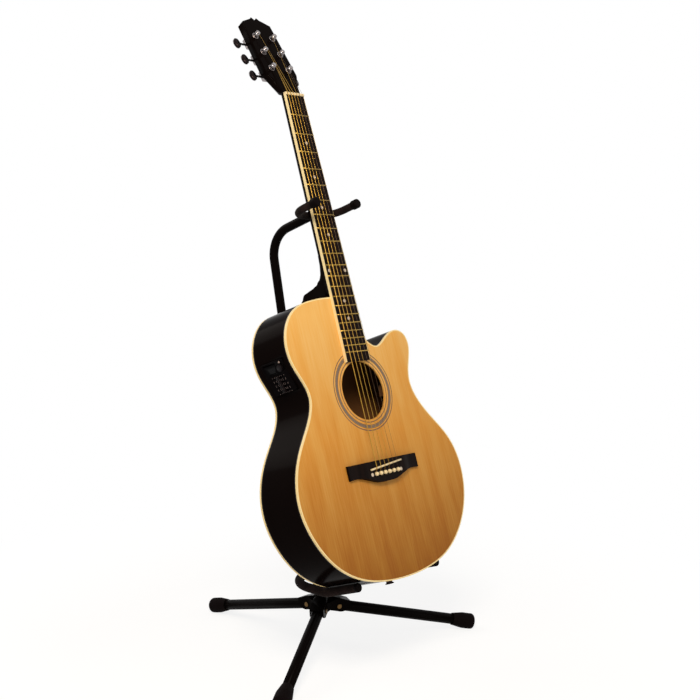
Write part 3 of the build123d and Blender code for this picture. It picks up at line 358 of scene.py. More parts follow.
@dataclass(frozen=True)
class VarnishedSpruce(Finish):
    """Quartersawn spruce under gloss varnish: straight grain, the same on both sides of the seam.

    Its colour is that of the neck end; painted shade darkens it towards the tail, standing in for
    the light's falloff.

    Attributes:
        waist_shade: the colour near the middle of the span, darkened by painted shade.
        waist_shade_at: where in the span that is, as a share of it.
        tail_shade: the colour at the tail, where the painted shade is darkest.
        shade_span_mm: where along the body the painted shade starts and ends.
        line_mm: the distance between growth lines, drawn a little coarse so that it shows.
        line_along: the lines' scale along the neck, as a share of that across it.
        line_reach: the part of the lines' noise that changes the tone.
        line_tone: the wood's tone at the ends of that part, as a power of its colour.
        streak_mm: the width of a soft streak.
        streak_along: as line_along, for the streaks.
        streak_reach: as line_reach, for the streaks.
        streak_tone: as line_tone, for the streaks.
    """

    waist_shade: str = "DDA04B"
    waist_shade_at: float = 0.45
    tail_shade: str = "9C6316"
    shade_span_mm: Pair = (390.0, 850.0)
    line_mm: float = 2.4
    line_along: float = 0.03
    line_reach: Pair = (0.36, 0.62)
    line_tone: Pair = (1.1, 0.98)
    streak_mm: float = 26.0
    streak_along: float = 0.14
    streak_reach: Pair = (0.3, 0.62)
    streak_tone: Pair = (1.18, 0.96)
    relief: float = 0.3

    def dress(self, tree: Tree, shader: Node, guitar: GuitarFrame) -> None:
        """Adds growth lines along the string direction, soft streaks and painted shade that darkens
        the wood towards the tail.

        Args:
            tree: the material's node tree.
            shader: its Principled BSDF.
            guitar: the guitar's frame.
        """
        place = guitar.place(tree)
        parts = add_node(tree, "SeparateXYZ", None, {"Vector": place}).outputs
        across = add_node(tree, "Math", {"operation": "ABSOLUTE"}, {0: parts["X"]})
        along = add_node(tree, "Math", {"operation": "MULTIPLY", 1: self.line_along},
                         {0: parts["Y"]})
        mirrored = add_node(tree, "CombineXYZ", None, {"X": across, "Y": along})
        lines = add_node(tree, "TexNoise",
                         {"Scale": 1 / (self.line_mm * MM), "Detail": 3.0, "Roughness": 0.6},
                         {"Vector": mirrored})
        drawn = add_node(tree, "Mapping", {"Scale": (1.0, self.streak_along, 1.0)},
                         {"Vector": place})
        streaks = add_node(tree, "TexNoise",
                           {"Scale": 1 / (self.streak_mm * MM), "Detail": 3.0, "Roughness": 0.55},
                           {"Vector": drawn})
        line_tone, streak_tone = (
            add_node(tree, "MapRange", {"From Min": reach[0], "From Max": reach[1],
                                        "To Min": power[0], "To Max": power[1]},
                     {"Value": pattern})
            for pattern, reach, power in ((lines, self.line_reach, self.line_tone),
                                          (streaks, self.streak_reach, self.streak_tone)))
        tone = add_node(tree, "Math", {"operation": "MULTIPLY"}, {0: line_tone, 1: streak_tone})
        # Painted shade: the colour darkens from the neck end to the tail, standing in for the
        # light's falloff.
        start, end = self.shade_span_mm
        painted_shade = add_node(tree, "MapRange", {"From Min": -start * MM, "From Max": -end * MM},
                          {"Value": parts["Y"]})
        wood = add_node(tree, "ValToRGB", None, {"Fac": painted_shade})
        set_ramp(wood, (0.0, self.colour), (self.waist_shade_at, self.waist_shade), (1.0, self.tail_shade))
        tint = add_node(tree, "Gamma", None, {"Color": wood, "Gamma": tone})
        self.surface(tree, shader, tint.outputs["Color"], lines.outputs["Fac"])


@dataclass(frozen=True)
class LayeredFinish(Finish):
    """A finish in the layer next to the body's front or back, and another colour further in.

    Attributes:
        inner: the colour beyond that layer.
        layer_mm: how deep the layer goes.
        neck_end_mm: distance from the nut to the body's upper end.
        depth_mm: the body's depth there.
        growth: how much deeper the body gets per length towards the tail.
    """

    inner: str = "0E0807"
    layer_mm: float = 3.6
    neck_end_mm: float = 360.0
    depth_mm: float = 83.0
    growth: float = 0.01895

    def dress(self, tree: Tree, shader: Node, guitar: GuitarFrame) -> None:
        """Adds the step from the outer layer's colour to the inner one.

        Args:
            tree: the material's node tree.
            shader: its Principled BSDF.
            guitar: the guitar's frame.
        """
        super().dress(tree, shader, guitar)
        outer = shader.inputs["Base Color"].links[0].from_socket
        parts = add_node(tree, "SeparateXYZ", None, {"Vector": guitar.place(tree)}).outputs
        from_front = add_node(tree, "Math", {"operation": "MULTIPLY", 1: -1.0}, {0: parts["Z"]})
        depth_at_nut = (self.depth_mm - self.growth * self.neck_end_mm) * MM
        depth = add_node(tree, "Math",
                         {"operation": "MULTIPLY_ADD", 1: -self.growth, 2: depth_at_nut},
                         {0: parts["Y"]})
        from_back = add_node(tree, "Math", {"operation": "ADD"}, {0: depth, 1: parts["Z"]})
        nearest = add_node(tree, "Math", {"operation": "MINIMUM"}, {0: from_front, 1: from_back})
        within = add_node(tree, "Math",
                          {"operation": "GREATER_THAN", 1: self.layer_mm * MM}, {0: nearest})
        layers = add_node(tree, "Mix", {"data_type": "RGBA", SECOND: linear(self.inner)},
                          {FACTOR: within, FIRST: outer})
        tree.links.new(layers.outputs[MIXED], shader.inputs["Base Color"])


@dataclass(frozen=True)
class OpenGrainWood(Finish):
    """A dark or raw wood whose pores run along the neck.

    Attributes:
        pore: the colour of the pores.
        pore_mm: the width of a pore streak.
        band_mm: the width of the broad bands that the pores gather in.
        stretch: how many times longer than wide both are.
        pore_share: how much the streaks count in the tone.
        band_share: how much the bands count in it.
        lift: what is added to the tone.
        tone_reach: the tones at which the pores' colour ends and the wood's begins.
    """

    pore: str = "120C0A"
    pore_mm: float = 0.8
    band_mm: float = 9.0
    stretch: float = 18.0
    pore_share: float = 0.5
    band_share: float = 0.6
    lift: float = 0.1
    tone_reach: Pair = (0.42, 0.74)
    relief: float = 0.5

    def dress(self, tree: Tree, shader: Node, guitar: GuitarFrame) -> None:
        """Adds long streaks along the neck that darken the wood and dent it.

        Args:
            tree: the material's node tree.
            shader: its Principled BSDF.
            guitar: the guitar's frame.
        """
        drawn = add_node(tree, "Mapping", {"Scale": (1.0, 1 / self.stretch, 1.0)},
                         {"Vector": guitar.place(tree)})
        streaks = add_node(tree, "TexNoise",
                           {"Scale": 1 / (self.pore_mm * MM), "Detail": 3.0, "Roughness": 0.6},
                           {"Vector": drawn})
        bands = add_node(tree, "TexNoise",
                         {"Scale": 1 / (self.band_mm * MM), "Detail": 2.0}, {"Vector": drawn})
        lifted = add_node(tree, "Math",
                          {"operation": "MULTIPLY_ADD", 1: self.band_share, 2: self.lift},
                          {0: bands})
        mixed = add_node(tree, "Math", {"operation": "MULTIPLY_ADD", 1: self.pore_share},
                         {0: streaks, 2: lifted})
        tone = add_node(tree, "ValToRGB", None, {"Fac": mixed})
        set_ramp(tone, *zip(self.tone_reach, (self.pore, self.colour)))
        self.surface(tree, shader, tone.outputs["Color"], streaks.outputs["Fac"])


@dataclass(frozen=True)
class RingInlay(Finish):
    """Thin layers of dyed wood and plastic let in round the sound hole, told by their radius.

    Attributes:
        centre_mm: the hole's distance down from the nut.
        reach_mm: the radius at which the ramp ends.
        layers: (radius, colour) where each layer starts, from the inside out.
    """

    centre_mm: float = 522.4
    reach_mm: float = 80.0
    layers: tuple[tuple[float, str], ...] = (
        (0.0, "6A564C"), (57.0, "4E423F"), (59.9, "A48C6C"), (60.5, "7A685C"), (62.1, "84705E"),
        (63.3, "A48C6C"), (63.9, "4E423F"), (66.0, "6A564C"))

    def dress(self, tree: Tree, shader: Node, guitar: GuitarFrame) -> None:
        """Colours by the distance from the hole's axis.

        Args:
            tree: the material's node tree.
            shader: its Principled BSDF.
            guitar: the guitar's frame.
        """
        place = guitar.place(tree, guitar.point(0, -self.centre_mm, 0))
        flat = add_node(tree, "VectorMath",
                        {"operation": "MULTIPLY", 1: (1.0, 1.0, 0.0)}, {0: place})
        radius = add_node(tree, "VectorMath", {"operation": "LENGTH"}, {0: flat})
        share = add_node(tree, "Math", {"operation": "DIVIDE", 1: self.reach_mm * MM},
                         {0: radius.outputs["Value"]})
        tone = add_node(tree, "ValToRGB", None, {"Fac": share})
        stops = ((radius_mm / self.reach_mm, colour) for radius_mm, colour in self.layers)
        set_ramp(tone, *stops, steps=Steps.HARD)
        tree.links.new(tone.outputs["Color"], shader.inputs["Base Color"])


@dataclass(frozen=True)
class WoundWire(Finish):
    """Bronze wire wound round a steel core: close ridges across the string.

    Attributes:
        pitch_mm: the distance between turns, drawn coarse enough to show.
        groove_shade: painted shade, the darker colour in the grooves between turns.
        crown_reach: the heights at which the painted shade in the grooves ends and the crown's
            colour begins.
    """

    pitch_mm: float = 1.2
    groove_shade: str = "8A5E28"
    crown_reach: Pair = (0.1, 0.6)
    relief: float = 0.6

    def dress(self, tree: Tree, shader: Node, guitar: GuitarFrame) -> None:
        """Adds the ridges as a wave along the neck, with painted shade in the grooves.

        Args:
            tree: the material's node tree.
            shader: its Principled BSDF.
            guitar: the guitar's frame.
        """
        wave = add_node(tree, "TexWave",
                        {"wave_type": "BANDS", "bands_direction": "Y", "wave_profile": "SIN",
                         "Scale": WAVE_LENGTH / (self.pitch_mm * MM), "Distortion": 0.0},
                        {"Vector": guitar.place(tree)}).outputs["Fac"]
        # Painted shade: the grooves between turns are coloured darker than the crowns.
        tone = add_node(tree, "ValToRGB", None, {"Fac": wave})
        set_ramp(tone, *zip(self.crown_reach, (self.groove_shade, self.colour)))
        self.surface(tree, shader, tone.outputs["Color"], wave)


@dataclass(frozen=True)
class CellFoam(Finish):
    """Closed-cell foam sleeve: a dull dark skin with fine pits.

    Attributes:
        cell_mm: the size of a cell, drawn a little coarse.
        cell_height: how high the cells stand, as a share of the dents' depth.
        dent_mm: the size of the soft dents in the sleeve.
        dent_shade: painted shade, the darker colour in the dents.
        dent_reach: the heights at which the painted shade in the dents ends and the skin's colour
            begins.
        sheen: how strongly the skin's edge catches light.
    """

    cell_mm: float = 1.4
    cell_height: float = 0.35
    dent_mm: float = 14.0
    dent_shade: str = "120D0C"
    dent_reach: Pair = (0.3, 0.7)
    sheen: float = 0.05
    relief: float = 0.8

    def dress(self, tree: Tree, shader: Node, guitar: GuitarFrame) -> None:
        """Adds the cells as pits, and dents darkened by painted shade.

        Args:
            tree: the material's node tree.
            shader: its Principled BSDF.
            guitar: the guitar's frame; not used.
        """
        place = add_node(tree, "TexCoord").outputs["Object"]
        cells = add_node(tree, "TexVoronoi", {"Scale": 1 / (self.cell_mm * MM)}, {"Vector": place})
        dents = add_node(tree, "TexNoise",
                         {"Scale": 1 / (self.dent_mm * MM), "Detail": 3.0}, {"Vector": place})
        # Painted shade: the dents, which are also the low places of the bump, are coloured darker.
        tone = add_node(tree, "ValToRGB", None, {"Fac": dents})
        set_ramp(tone, *zip(self.dent_reach, (self.dent_shade, self.colour)))
        height = add_node(tree, "Math", {"operation": "MULTIPLY_ADD", 1: self.cell_height},
                          {0: cells, 2: dents})
        self.surface(tree, shader, tone.outputs["Color"], height.outputs[0])
        shader.inputs["Sheen Weight"].default_value = self.sheen


# Varnish over spruce: warm amber and glossy, with straight fine lines and painted shade towards the
# tail.
SPRUCE = VarnishedSpruce("varnished_spruce", "F4C170", 0.34, specular=0.1, bump=0.03)
# The body's binding: cream celluloid with a black line on its inner edge.
BODY_BINDING = LayeredFinish("lined_celluloid_binding", "FFE6A8", 0.35, specular=0.2, grain_mm=6,
                             bump=0.01, mottle=0.03)
# The back: black gloss outside, bare wood inside, which warms the sound hole.
BACK = LayeredFinish("lacquered_back", "0E0807", 0.14, specular=0.006, grain_mm=25, bump=0.02,
                     inner="7A5230", layer_mm=1.4)
# Celluloid along the fingerboard: a warm ivory that stays glossy.
BINDING = Finish("celluloid_binding", "FFE9B0", 0.35, specular=0.2, grain_mm=6, bump=0.01,
                 mottle=0.03)
# Black lacquer of rim, neck and headstock, rubbed to a deep gloss.
LACQUER = Finish("black_gloss_lacquer", "0E0807", 0.14, specular=0.006, grain_mm=25, bump=0.02)
# Raw spruce and mahogany inside the body: dull and brown.
RAW_WOOD = OpenGrainWood("raw_inner_wood", "53361C", 0.8, specular=0.2, pore="382412", pore_mm=1.6,
                         bump=0.08)
# Dark rosewood, oiled: nearly black with long pores.
ROSEWOOD = OpenGrainWood("oiled_rosewood", "170E0B", 0.4, specular=0.03, pore="090504", bump=0.06)
# Dyed layers round the sound hole, flush under the varnish.
ROSETTE = RingInlay("layered_ring_inlay", "746560", 0.3, specular=0.1)
# Nickel silver fret wire, polished on its crown and warm from handling.
FRET_WIRE = Finish("nickel_silver_frets", "AA8C46", 0.24, metallic=1.0, grain_mm=2, bump=0.004)
# Pearloid dots: pale with a slow shimmer.
PEARL = Finish("pearloid_inlay", "D8C8B4", 0.25, ior=1.55, specular=0.3, grain_mm=1.2, mottle=0.12)
# Ivory-coloured moulded plastic of nut, saddle and pins.
IVORY = Finish("ivory_plastic", "F6DFAE", 0.3, specular=0.4, grain_mm=4, bump=0.01, mottle=0.03)
# Bronze winding, bright gold-brown, with painted shade between the turns.
BRONZE = WoundWire("bronze_wound_wire", "C29C42", 0.32, metallic=1.0, bump=0.05)
# Plain steel of the two thin strings and the truss rod, dark and warm.
STEEL_WIRE = Finish("plain_steel_wire", "6A523A", 0.38, metallic=1.0, grain_mm=2, bump=0.003)
# Chrome plate over die-cast zinc: a mirror, a little dim.
CHROME = Finish("chrome_plate", "989190", 0.1, metallic=1.0, grain_mm=8, bump=0.01, mottle=0.04)
# Smoked chrome of the tuner buttons: a dark mirror.
SMOKED_CHROME = Finish("smoked_chrome", "241D1D", 0.14, metallic=1.0, grain_mm=8, bump=0.01,
                       mottle=0.04)
# Darkened brass of the leg rivets, warm and half dull.
OLD_BRASS = Finish("darkened_brass", "6E5636", 0.4, metallic=1.0, grain_mm=1.5, bump=0.01,
                   mottle=0.15)
# Textured ABS of the preamp, black and a little glossy.
ABS = Finish("textured_abs", "0B0809", 0.35, specular=0.008, grain_mm=0.7, bump=0.02)
# Smoked cover of the battery, a dark gloss beside the dull panel.
SMOKED = Finish("smoked_acrylic_cover", "080607", 0.14, specular=0.012, grain_mm=15, bump=0.01)
# Moulded slider caps and knob, a shade lighter than the panel.
DARK_CAP = Finish("dark_moulded_cap", "191416", 0.3, specular=0.05, grain_mm=1.5, bump=0.01)
# Pale ink of the scale marks beside the controls.
MARK_INK = Finish("pale_scale_ink", "8C7C7A", 0.6, specular=0.2, grain_mm=0.5, bump=0.0)
# Lens of the battery lamp, a pale glossy dot.
LENS = Finish("lamp_lens", "9C877C", 0.15, specular=0.4, grain_mm=2, bump=0.0)
# Black gloss powder coat on steel tube: slight orange peel.
POWDER_COAT = Finish("black_powder_coat", "0C0807", 0.24, specular=0.01, grain_mm=1.6, bump=0.02)
# Moulded nylon of the collar, the knob and the caps: black and half dull.
NYLON = Finish("moulded_nylon", "100B0B", 0.45, specular=0.015, grain_mm=1.0, bump=0.03)
# Foam sleeves: matte dark brown-black, with painted shade in their dents.
FOAM = CellFoam("closed_cell_foam", "261B1A", 0.9, ior=1.4, specular=0.03, bump=0.4)
# Rubber feet: dull, a little dusty.
RUBBER = Finish("moulded_rubber", "130E0E", 0.65, specular=0.02, grain_mm=1.2, bump=0.05,
                mottle=0.15)


# ------------------------------------------------------------------ pieces


@dataclass
class Workshop:
    """Makes the materials once and hands them to the pieces.

    Attributes:
        guitar: the guitar's frame.
        made: the materials that exist so far.
    """

    frame: dict
    guitar: GuitarFrame
    made: dict[str, bpy.types.Material] = field(default_factory=dict)

    def material(self, finish: Finish) -> bpy.types.Material:
        """Finds a finish's material, which is built on first use.

        Args:
            finish: the finish.

        Returns:
            Its material.
        """
        if finish.name not in self.made:
            self.made[finish.name] = finish.material(self.guitar)
        return self.made[finish.name]

    def coat(self, node: str, finish: Finish) -> None:
        """Gives a model node its finish in place.

        Args:
            node: the node's name.
            finish: its finish.
        """
        mesh = self.frame["nodes"][node].data
        mesh.materials.clear()
        mesh.materials.append(self.material(finish))
        LOG.info("%s: %s", node, finish.name)

    def smooth(self, node: str, finish: Finish, edge_mm: float = 0.0) -> Object:
        """Replaces a node by a merged copy with smooth curves and, if asked, softened edges.

        Args:
            node: the node's name.
            finish: its finish.
            edge_mm: width of a rounded edge, or 0 for none.

        Returns:
            The new piece.
        """
        source = self.frame["nodes"][node]
        mesh = source.data.copy()
        mesh.name = node + "_dressed"
        shape = bmesh.new()
        shape.from_mesh(mesh)
        bmesh.ops.remove_doubles(shape, verts=shape.verts, dist=WELD)
        bmesh.ops.dissolve_degenerate(shape, dist=SPECK, edges=shape.edges)
        if edge_mm:
            bmesh.ops.dissolve_limit(shape, angle_limit=FLAT, verts=shape.verts, edges=shape.edges)
        shape.to_mesh(mesh)
        shape.free()
        mesh.shade_smooth()
        mesh.set_sharp_from_angle(angle=SHARP)
        mesh.materials.clear()
        mesh.materials.append(self.material(finish))
        piece = add_object(node + "_dressed", mesh)
        if edge_mm:
            bevel = piece.modifiers.new("soft_edge", "BEVEL")
            bevel.width = edge_mm * MM
            bevel.segments = 2
            bevel.limit_method = "ANGLE"
            bevel.angle_limit = SHARP
        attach(piece, source["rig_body"])
        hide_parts(node)
        LOG.info("%s: smoothed, %s", node, finish.name)
        return piece

    def slot_of(self, node: str) -> str:
        """The record's material slot of a node."""
        parts = self.frame["record"]["subparts"]
        return next(p["material_slot"] for p in parts if p["node"] == node)


@dataclass
class Body:
    """Soundboard, rosette, rim, back, bindings and what is inside."""

    shop: Workshop

    def dress(self) -> None:
        """Gives each piece of the body its finish."""
        shop = self.shop
        shop.coat("soundboard", SPRUCE)
        shop.coat("rosette", ROSETTE)
        shop.smooth("rim", LACQUER)
        shop.coat("back_plate", BACK)
        shop.smooth("body_binding", BODY_BINDING)
        shop.coat("blocks_and_linings", RAW_WOOD)
        shop.coat("braces", RAW_WOOD)
        shop.smooth("end_pin_jack", SMOKED_CHROME)


@dataclass
class Neck:
    """Neck, headstock, fingerboard, frets and nut.

    Attributes:
        heel_mm: distance from the nut and depth of the heel's back line, from neck to body.
        heel_half_mm: the neck's half width where the heel grows out of it.
        squareness: the section's exponent along the heel, from a half oval to a flat cap.
        throat_mm: half width and depth of the neck below the nut.
        throat_span: where that stretch starts and ends, from the nut.
        cuts_mm: how closely a carved surface is divided, along the neck and across it.
        cut_weld_mm: a vertex nearer to a cut than this counts as on it.
        sharp_deg: edges of the carved neck that turn more than this stay sharp.
    """

    shop: Workshop
    heel_mm: tuple[Pair, ...] = (
        (278.0, 17.3), (292.0, 19.3), (304.0, 20.8), (314.0, 22.8), (321.0, 24.5), (326.0, 27.0),
        (329.0, 29.5), (331.5, 36.5), (333.5, 53.0), (335.5, 69.5), (339.0, 73.5), (345.0, 77.0))
    heel_half_mm: float = 25.7
    squareness: tuple[Pair, ...] = ((300.0, 2.0), (316.0, 2.3), (324.0, 3.0), (332.0, 8.0))
    throat_mm: Pair = (21.7, 15.8)
    throat_span: Pair = (-9.0, 0.6)
    cuts_mm: Pair = (2.0, 3.0)
    cut_weld_mm: float = 0.01
    sharp_deg: float = 40.0

    def heel_depth(self, across: float, along: float) -> float:
        """How deep the heel is at a point of its plan.

        Args:
            across: the distance from the neck's middle, in millimetres.
            along: the distance from the nut, in millimetres.

        Returns:
            The depth below the soundboard's plane, in millimetres.
        """
        power = between(self.squareness, along)
        share = min(abs(across) / self.heel_half_mm, 1.0)
        return between(self.heel_mm, along) * (1 - share ** power) ** (1 / power)

    def throat_depth(self, across: float, along: float) -> float:
        """How deep the neck is below the nut: the same half oval as beside it."""
        share = min(abs(across) / self.throat_mm[0], 1.0)
        return self.throat_mm[1] * math.sqrt(1 - share ** 2)

    def carve(self, shape: bmesh.types.BMesh, span: Pair,
              depth_at: Callable[[float, float], float]) -> None:
        """Divides a stretch of the neck finely and draws its back in to a depth.

        Args:
            shape: the neck in the guitar's frame, in millimetres.
            span: where along the neck the stretch starts and ends.
            depth_at: the depth for a distance across and a distance along.
        """
        start, end = span
        step_along, step_across = self.cuts_mm
        planes = [((0.0, -start - k * step_along, 0.0), (0.0, 1.0, 0.0))
                  for k in range(int((end - start) / step_along) + 1)]
        reach = int(self.heel_half_mm / step_across)
        planes += [((k * step_across, 0.0, 0.0), (1.0, 0.0, 0.0))
                   for k in range(-reach, reach + 1)]
        margin = 2 * step_along
        for point, normal in planes:
            faces = [f for f in shape.faces if any(start - margin < -v.co.y < end + margin
                                                   and v.co.z < 0 for v in f.verts)]
            edges = {e for f in faces for e in f.edges}
            verts = {v for f in faces for v in f.verts}
            bmesh.ops.bisect_plane(shape, geom=list(set(faces) | edges | verts),
                                   dist=self.cut_weld_mm, plane_co=point, plane_no=normal)
        for vert in shape.verts:
            if start < -vert.co.y < end:
                vert.co.z = max(vert.co.z, -depth_at(vert.co.x, -vert.co.y))

    def shape_back(self, piece: Object) -> None:
        """Draws the heel in to its sweep and rounds the neck below the nut.

        Args:
            piece: the neck's dressed copy.
        """
        to_model = self.shop.guitar.matrix() @ Matrix.Scale(MM, 4)
        shape = bmesh.new()
        shape.from_mesh(piece.data)
        shape.transform(to_model.inverted())
        self.carve(shape, (self.heel_mm[0][0], self.heel_mm[-1][0]), self.heel_depth)
        self.carve(shape, self.throat_span, self.throat_depth)
        shape.transform(to_model)
        shape.to_mesh(piece.data)
        shape.free()
        piece.data.shade_smooth()
        piece.data.set_sharp_from_angle(angle=math.radians(self.sharp_deg))

    def dress(self) -> None:
        """Gives each piece of the neck its finish."""
        shop = self.shop
        self.shape_back(shop.smooth("neck", LACQUER))
        shop.smooth("headstock_veneer", LACQUER, edge_mm=0.5)
        shop.coat("truss_rod", STEEL_WIRE)
        shop.coat("fingerboard", ROSEWOOD)
        shop.coat("fingerboard_binding", BINDING)
        shop.smooth("frets", FRET_WIRE)
        shop.coat("pearl_dots", PEARL)
        shop.smooth("nut", IVORY)


@dataclass
class Strings:
    """Bridge, saddle, pins and the six strings."""

    shop: Workshop

    def dress(self) -> None:
        """Gives bridge and strings their finish."""
        shop = self.shop
        shop.smooth("bridge", ROSEWOOD, edge_mm=0.7)
        shop.smooth("saddle", IVORY)
        shop.smooth("bridge_pins", IVORY)
        shop.smooth("wound_strings", BRONZE)
        shop.smooth("plain_strings", STEEL_WIRE)


@dataclass
class Tuners:
    """Gearboxes, posts and buttons on the headstock.

    Attributes:
        count: how many there are.
    """

    shop: Workshop
    count: int = 6

    def dress(self) -> None:
        """Gives the gearboxes and posts their chrome and the buttons their smoked chrome."""
        self.shop.smooth("tuner_hardware", CHROME, edge_mm=0.25)
        for number in range(1, self.count + 1):
            self.shop.smooth(f"tuner_post_{number}", CHROME)
            self.shop.smooth(f"tuner_button_{number}", SMOKED_CHROME)


@dataclass
class Preamp:
    """Control panel in the bass side.

    Attributes:
        sliders: how many tone sliders it has.
        lens_mm: radius of the lamp's lens.
        lens_sunk: how far its centre lies below the lamp's top, as a share of its radius.
        lens_facets: how many segments it has around and from pole to pole.
        mark_mm: length, width and height of a printed scale mark.
        mark_gap_mm: from a slider's middle to its marks.
        mark_places: where a slider's marks lie along its slot, in millimetres.
    """

    shop: Workshop
    sliders: int = 4
    lens_mm: float = 1.9
    lens_sunk: float = 0.84
    lens_facets: tuple[int, int] = (24, 16)
    mark_mm: Triple = (1.3, 0.7, 0.06)
    mark_gap_mm: float = 2.9
    mark_places: tuple[float, ...] = (-14.0, -8.0, -4.0, 0.0, 4.0, 8.0, 14.0)

    def panel_axes(self) -> tuple[Vector, Vector, Vector]:
        """Reads the panel's directions from its joints.

        Returns:
            The directions along the body, along the slots and out of the side.
        """
        joints = {j["name"]: Vector(j["axis"]).normalized() for j in self.shop.frame["joints"]
                  if j.get("axis")}
        slot, out = joints["eq_slider_1_slide"], joints["volume_turn"]
        return slot.cross(out).normalized(), slot, out

    def turned(self, centre: Vector) -> Matrix:
        """A place on the panel, with X along the body, Y along the slots and Z out of the side."""
        turn = Matrix(self.panel_axes()).transposed().to_4x4()
        return Matrix.Translation(centre) @ turn

    def add(self, name: str, shape: bmesh.types.BMesh, finish: Finish) -> None:
        """Makes a small piece of the panel that rides with the guitar.

        Args:
            name: the piece's name.
            shape: its shape in the model's metres.
            finish: its finish.
        """
        panel = self.shop.frame["nodes"]["preamp_panel"]
        mesh = bpy.data.meshes.new(name)
        shape.to_mesh(mesh)
        shape.free()
        mesh.materials.append(self.shop.material(finish))
        piece = add_object(name, mesh)
        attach(piece, panel["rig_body"])
        self.shop.slot_of("preamp_panel")
        LOG.info("%s: made, %s", name, finish.name)

    def face_height(self) -> float:
        """How far out the panel's face lies, from the battery door that is flush with it."""
        out = self.panel_axes()[2]
        return max(v.co.dot(out) for v in self.shop.frame["nodes"]["battery_door"].data.vertices)

    def scale_marks(self) -> None:
        """Prints short marks along both sides of each slot."""
        along, slot, out = self.panel_axes()
        height = self.face_height()
        length, width, thick = (size * MM for size in self.mark_mm)
        block = Matrix.Diagonal((length, width, 2 * thick, 1.0))
        shape = bmesh.new()
        for number in range(1, self.sliders + 1):
            low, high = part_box(f"eq_slider_{number}")
            middle = (low + high) / 2
            middle += out * (height - middle.dot(out))
            for side in (-1, 1):
                for place in self.mark_places:
                    centre = middle + along * (side * self.mark_gap_mm * MM) + slot * (place * MM)
                    bmesh.ops.create_cube(shape, size=1.0, matrix=self.turned(centre) @ block)
        self.add("slider_scale_marks", shape, MARK_INK)

    def lamp_lens(self) -> None:
        """Sets a pale dome over the battery lamp, the panel's highest point."""
        out = self.panel_axes()[2]
        panel = self.shop.frame["nodes"]["preamp_panel"]
        top = max((v.co for v in panel.data.vertices), key=lambda co: co.dot(out))
        base = self.face_height()
        centre = top - out * (self.lens_mm * self.lens_sunk * MM)
        around, upward = self.lens_facets
        shape = bmesh.new()
        bmesh.ops.create_uvsphere(shape, u_segments=around, v_segments=upward,
                                  radius=self.lens_mm * MM, matrix=self.turned(centre))
        cut = centre + out * (base - centre.dot(out))
        everything = shape.verts[:] + shape.edges[:] + shape.faces[:]
        found = bmesh.ops.bisect_plane(shape, geom=everything, dist=SPECK, plane_co=cut,
                                       plane_no=out, clear_inner=True)
        rim = [e for e in found["geom_cut"] if isinstance(e, bmesh.types.BMEdge)]
        bmesh.ops.contextual_create(shape, geom=rim)
        bmesh.ops.recalc_face_normals(shape, faces=shape.faces[:])
        for face in shape.faces:
            face.smooth = True
        self.add("battery_lamp_lens", shape, LENS)

    def dress(self) -> None:
        """Gives panel, door and controls their finish and adds the marks and the lens."""
        self.shop.smooth("preamp_panel", ABS)
        self.shop.coat("preamp_case", ABS)
        self.shop.smooth("battery_door", SMOKED)
        self.shop.smooth("volume_knob", DARK_CAP)
        for number in range(1, self.sliders + 1):
            self.shop.smooth(f"eq_slider_{number}", DARK_CAP)
        self.scale_marks()
        self.lamp_lens()


@dataclass
class Stand:
    """Legs, hub, post, cradle and yoke."""

    shop: Workshop

    def dress(self) -> None:
        """Gives metal, foam, nylon and rubber their finish."""
        shop = self.shop
        for node in ("hub", "lower_tube", "gooseneck", "cradle_frame", "yoke_frame"):
            shop.smooth(node, POWDER_COAT)
        shop.smooth("leg_rivets", OLD_BRASS)
        for node in ("height_collar", "clamp_knob", "cradle_caps", "yoke_caps"):
            shop.smooth(node, NYLON)
        for node in ("cradle_sleeves", "yoke_sleeve"):
            shop.smooth(node, FOAM)
        for name in ("front_left", "front_right", "rear"):
            shop.smooth(f"leg_{name}", POWDER_COAT)
            shop.smooth(f"foot_{name}", RUBBER)


# ------------------------------------------------------------------ studio


@dataclass(frozen=True)
class Lamp:
    """A soft square lamp.

    Attributes:
        name: the lamp's name.
        place: where it hangs, in metres.
        size: its side, in metres.
        power: its power in watts.
        colour: its light's sRGB hex colour.
    """

    name: str
    place: Triple
    size: float
    power: float
    colour: str


# The main light hangs at the left front, a wide weak one in front and one behind the stand.
LAMPS = (Lamp("key", (-1.0, -0.95, 1.6), 0.6, 21.0, "FFF1DE"),
         Lamp("fill", (1.6, -2.6, 1.2), 1.6, 10.0, "FFF4E8"),
         Lamp("rim", (-0.6, 2.2, 1.8), 1.2, 12.0, "FFF6EC"))


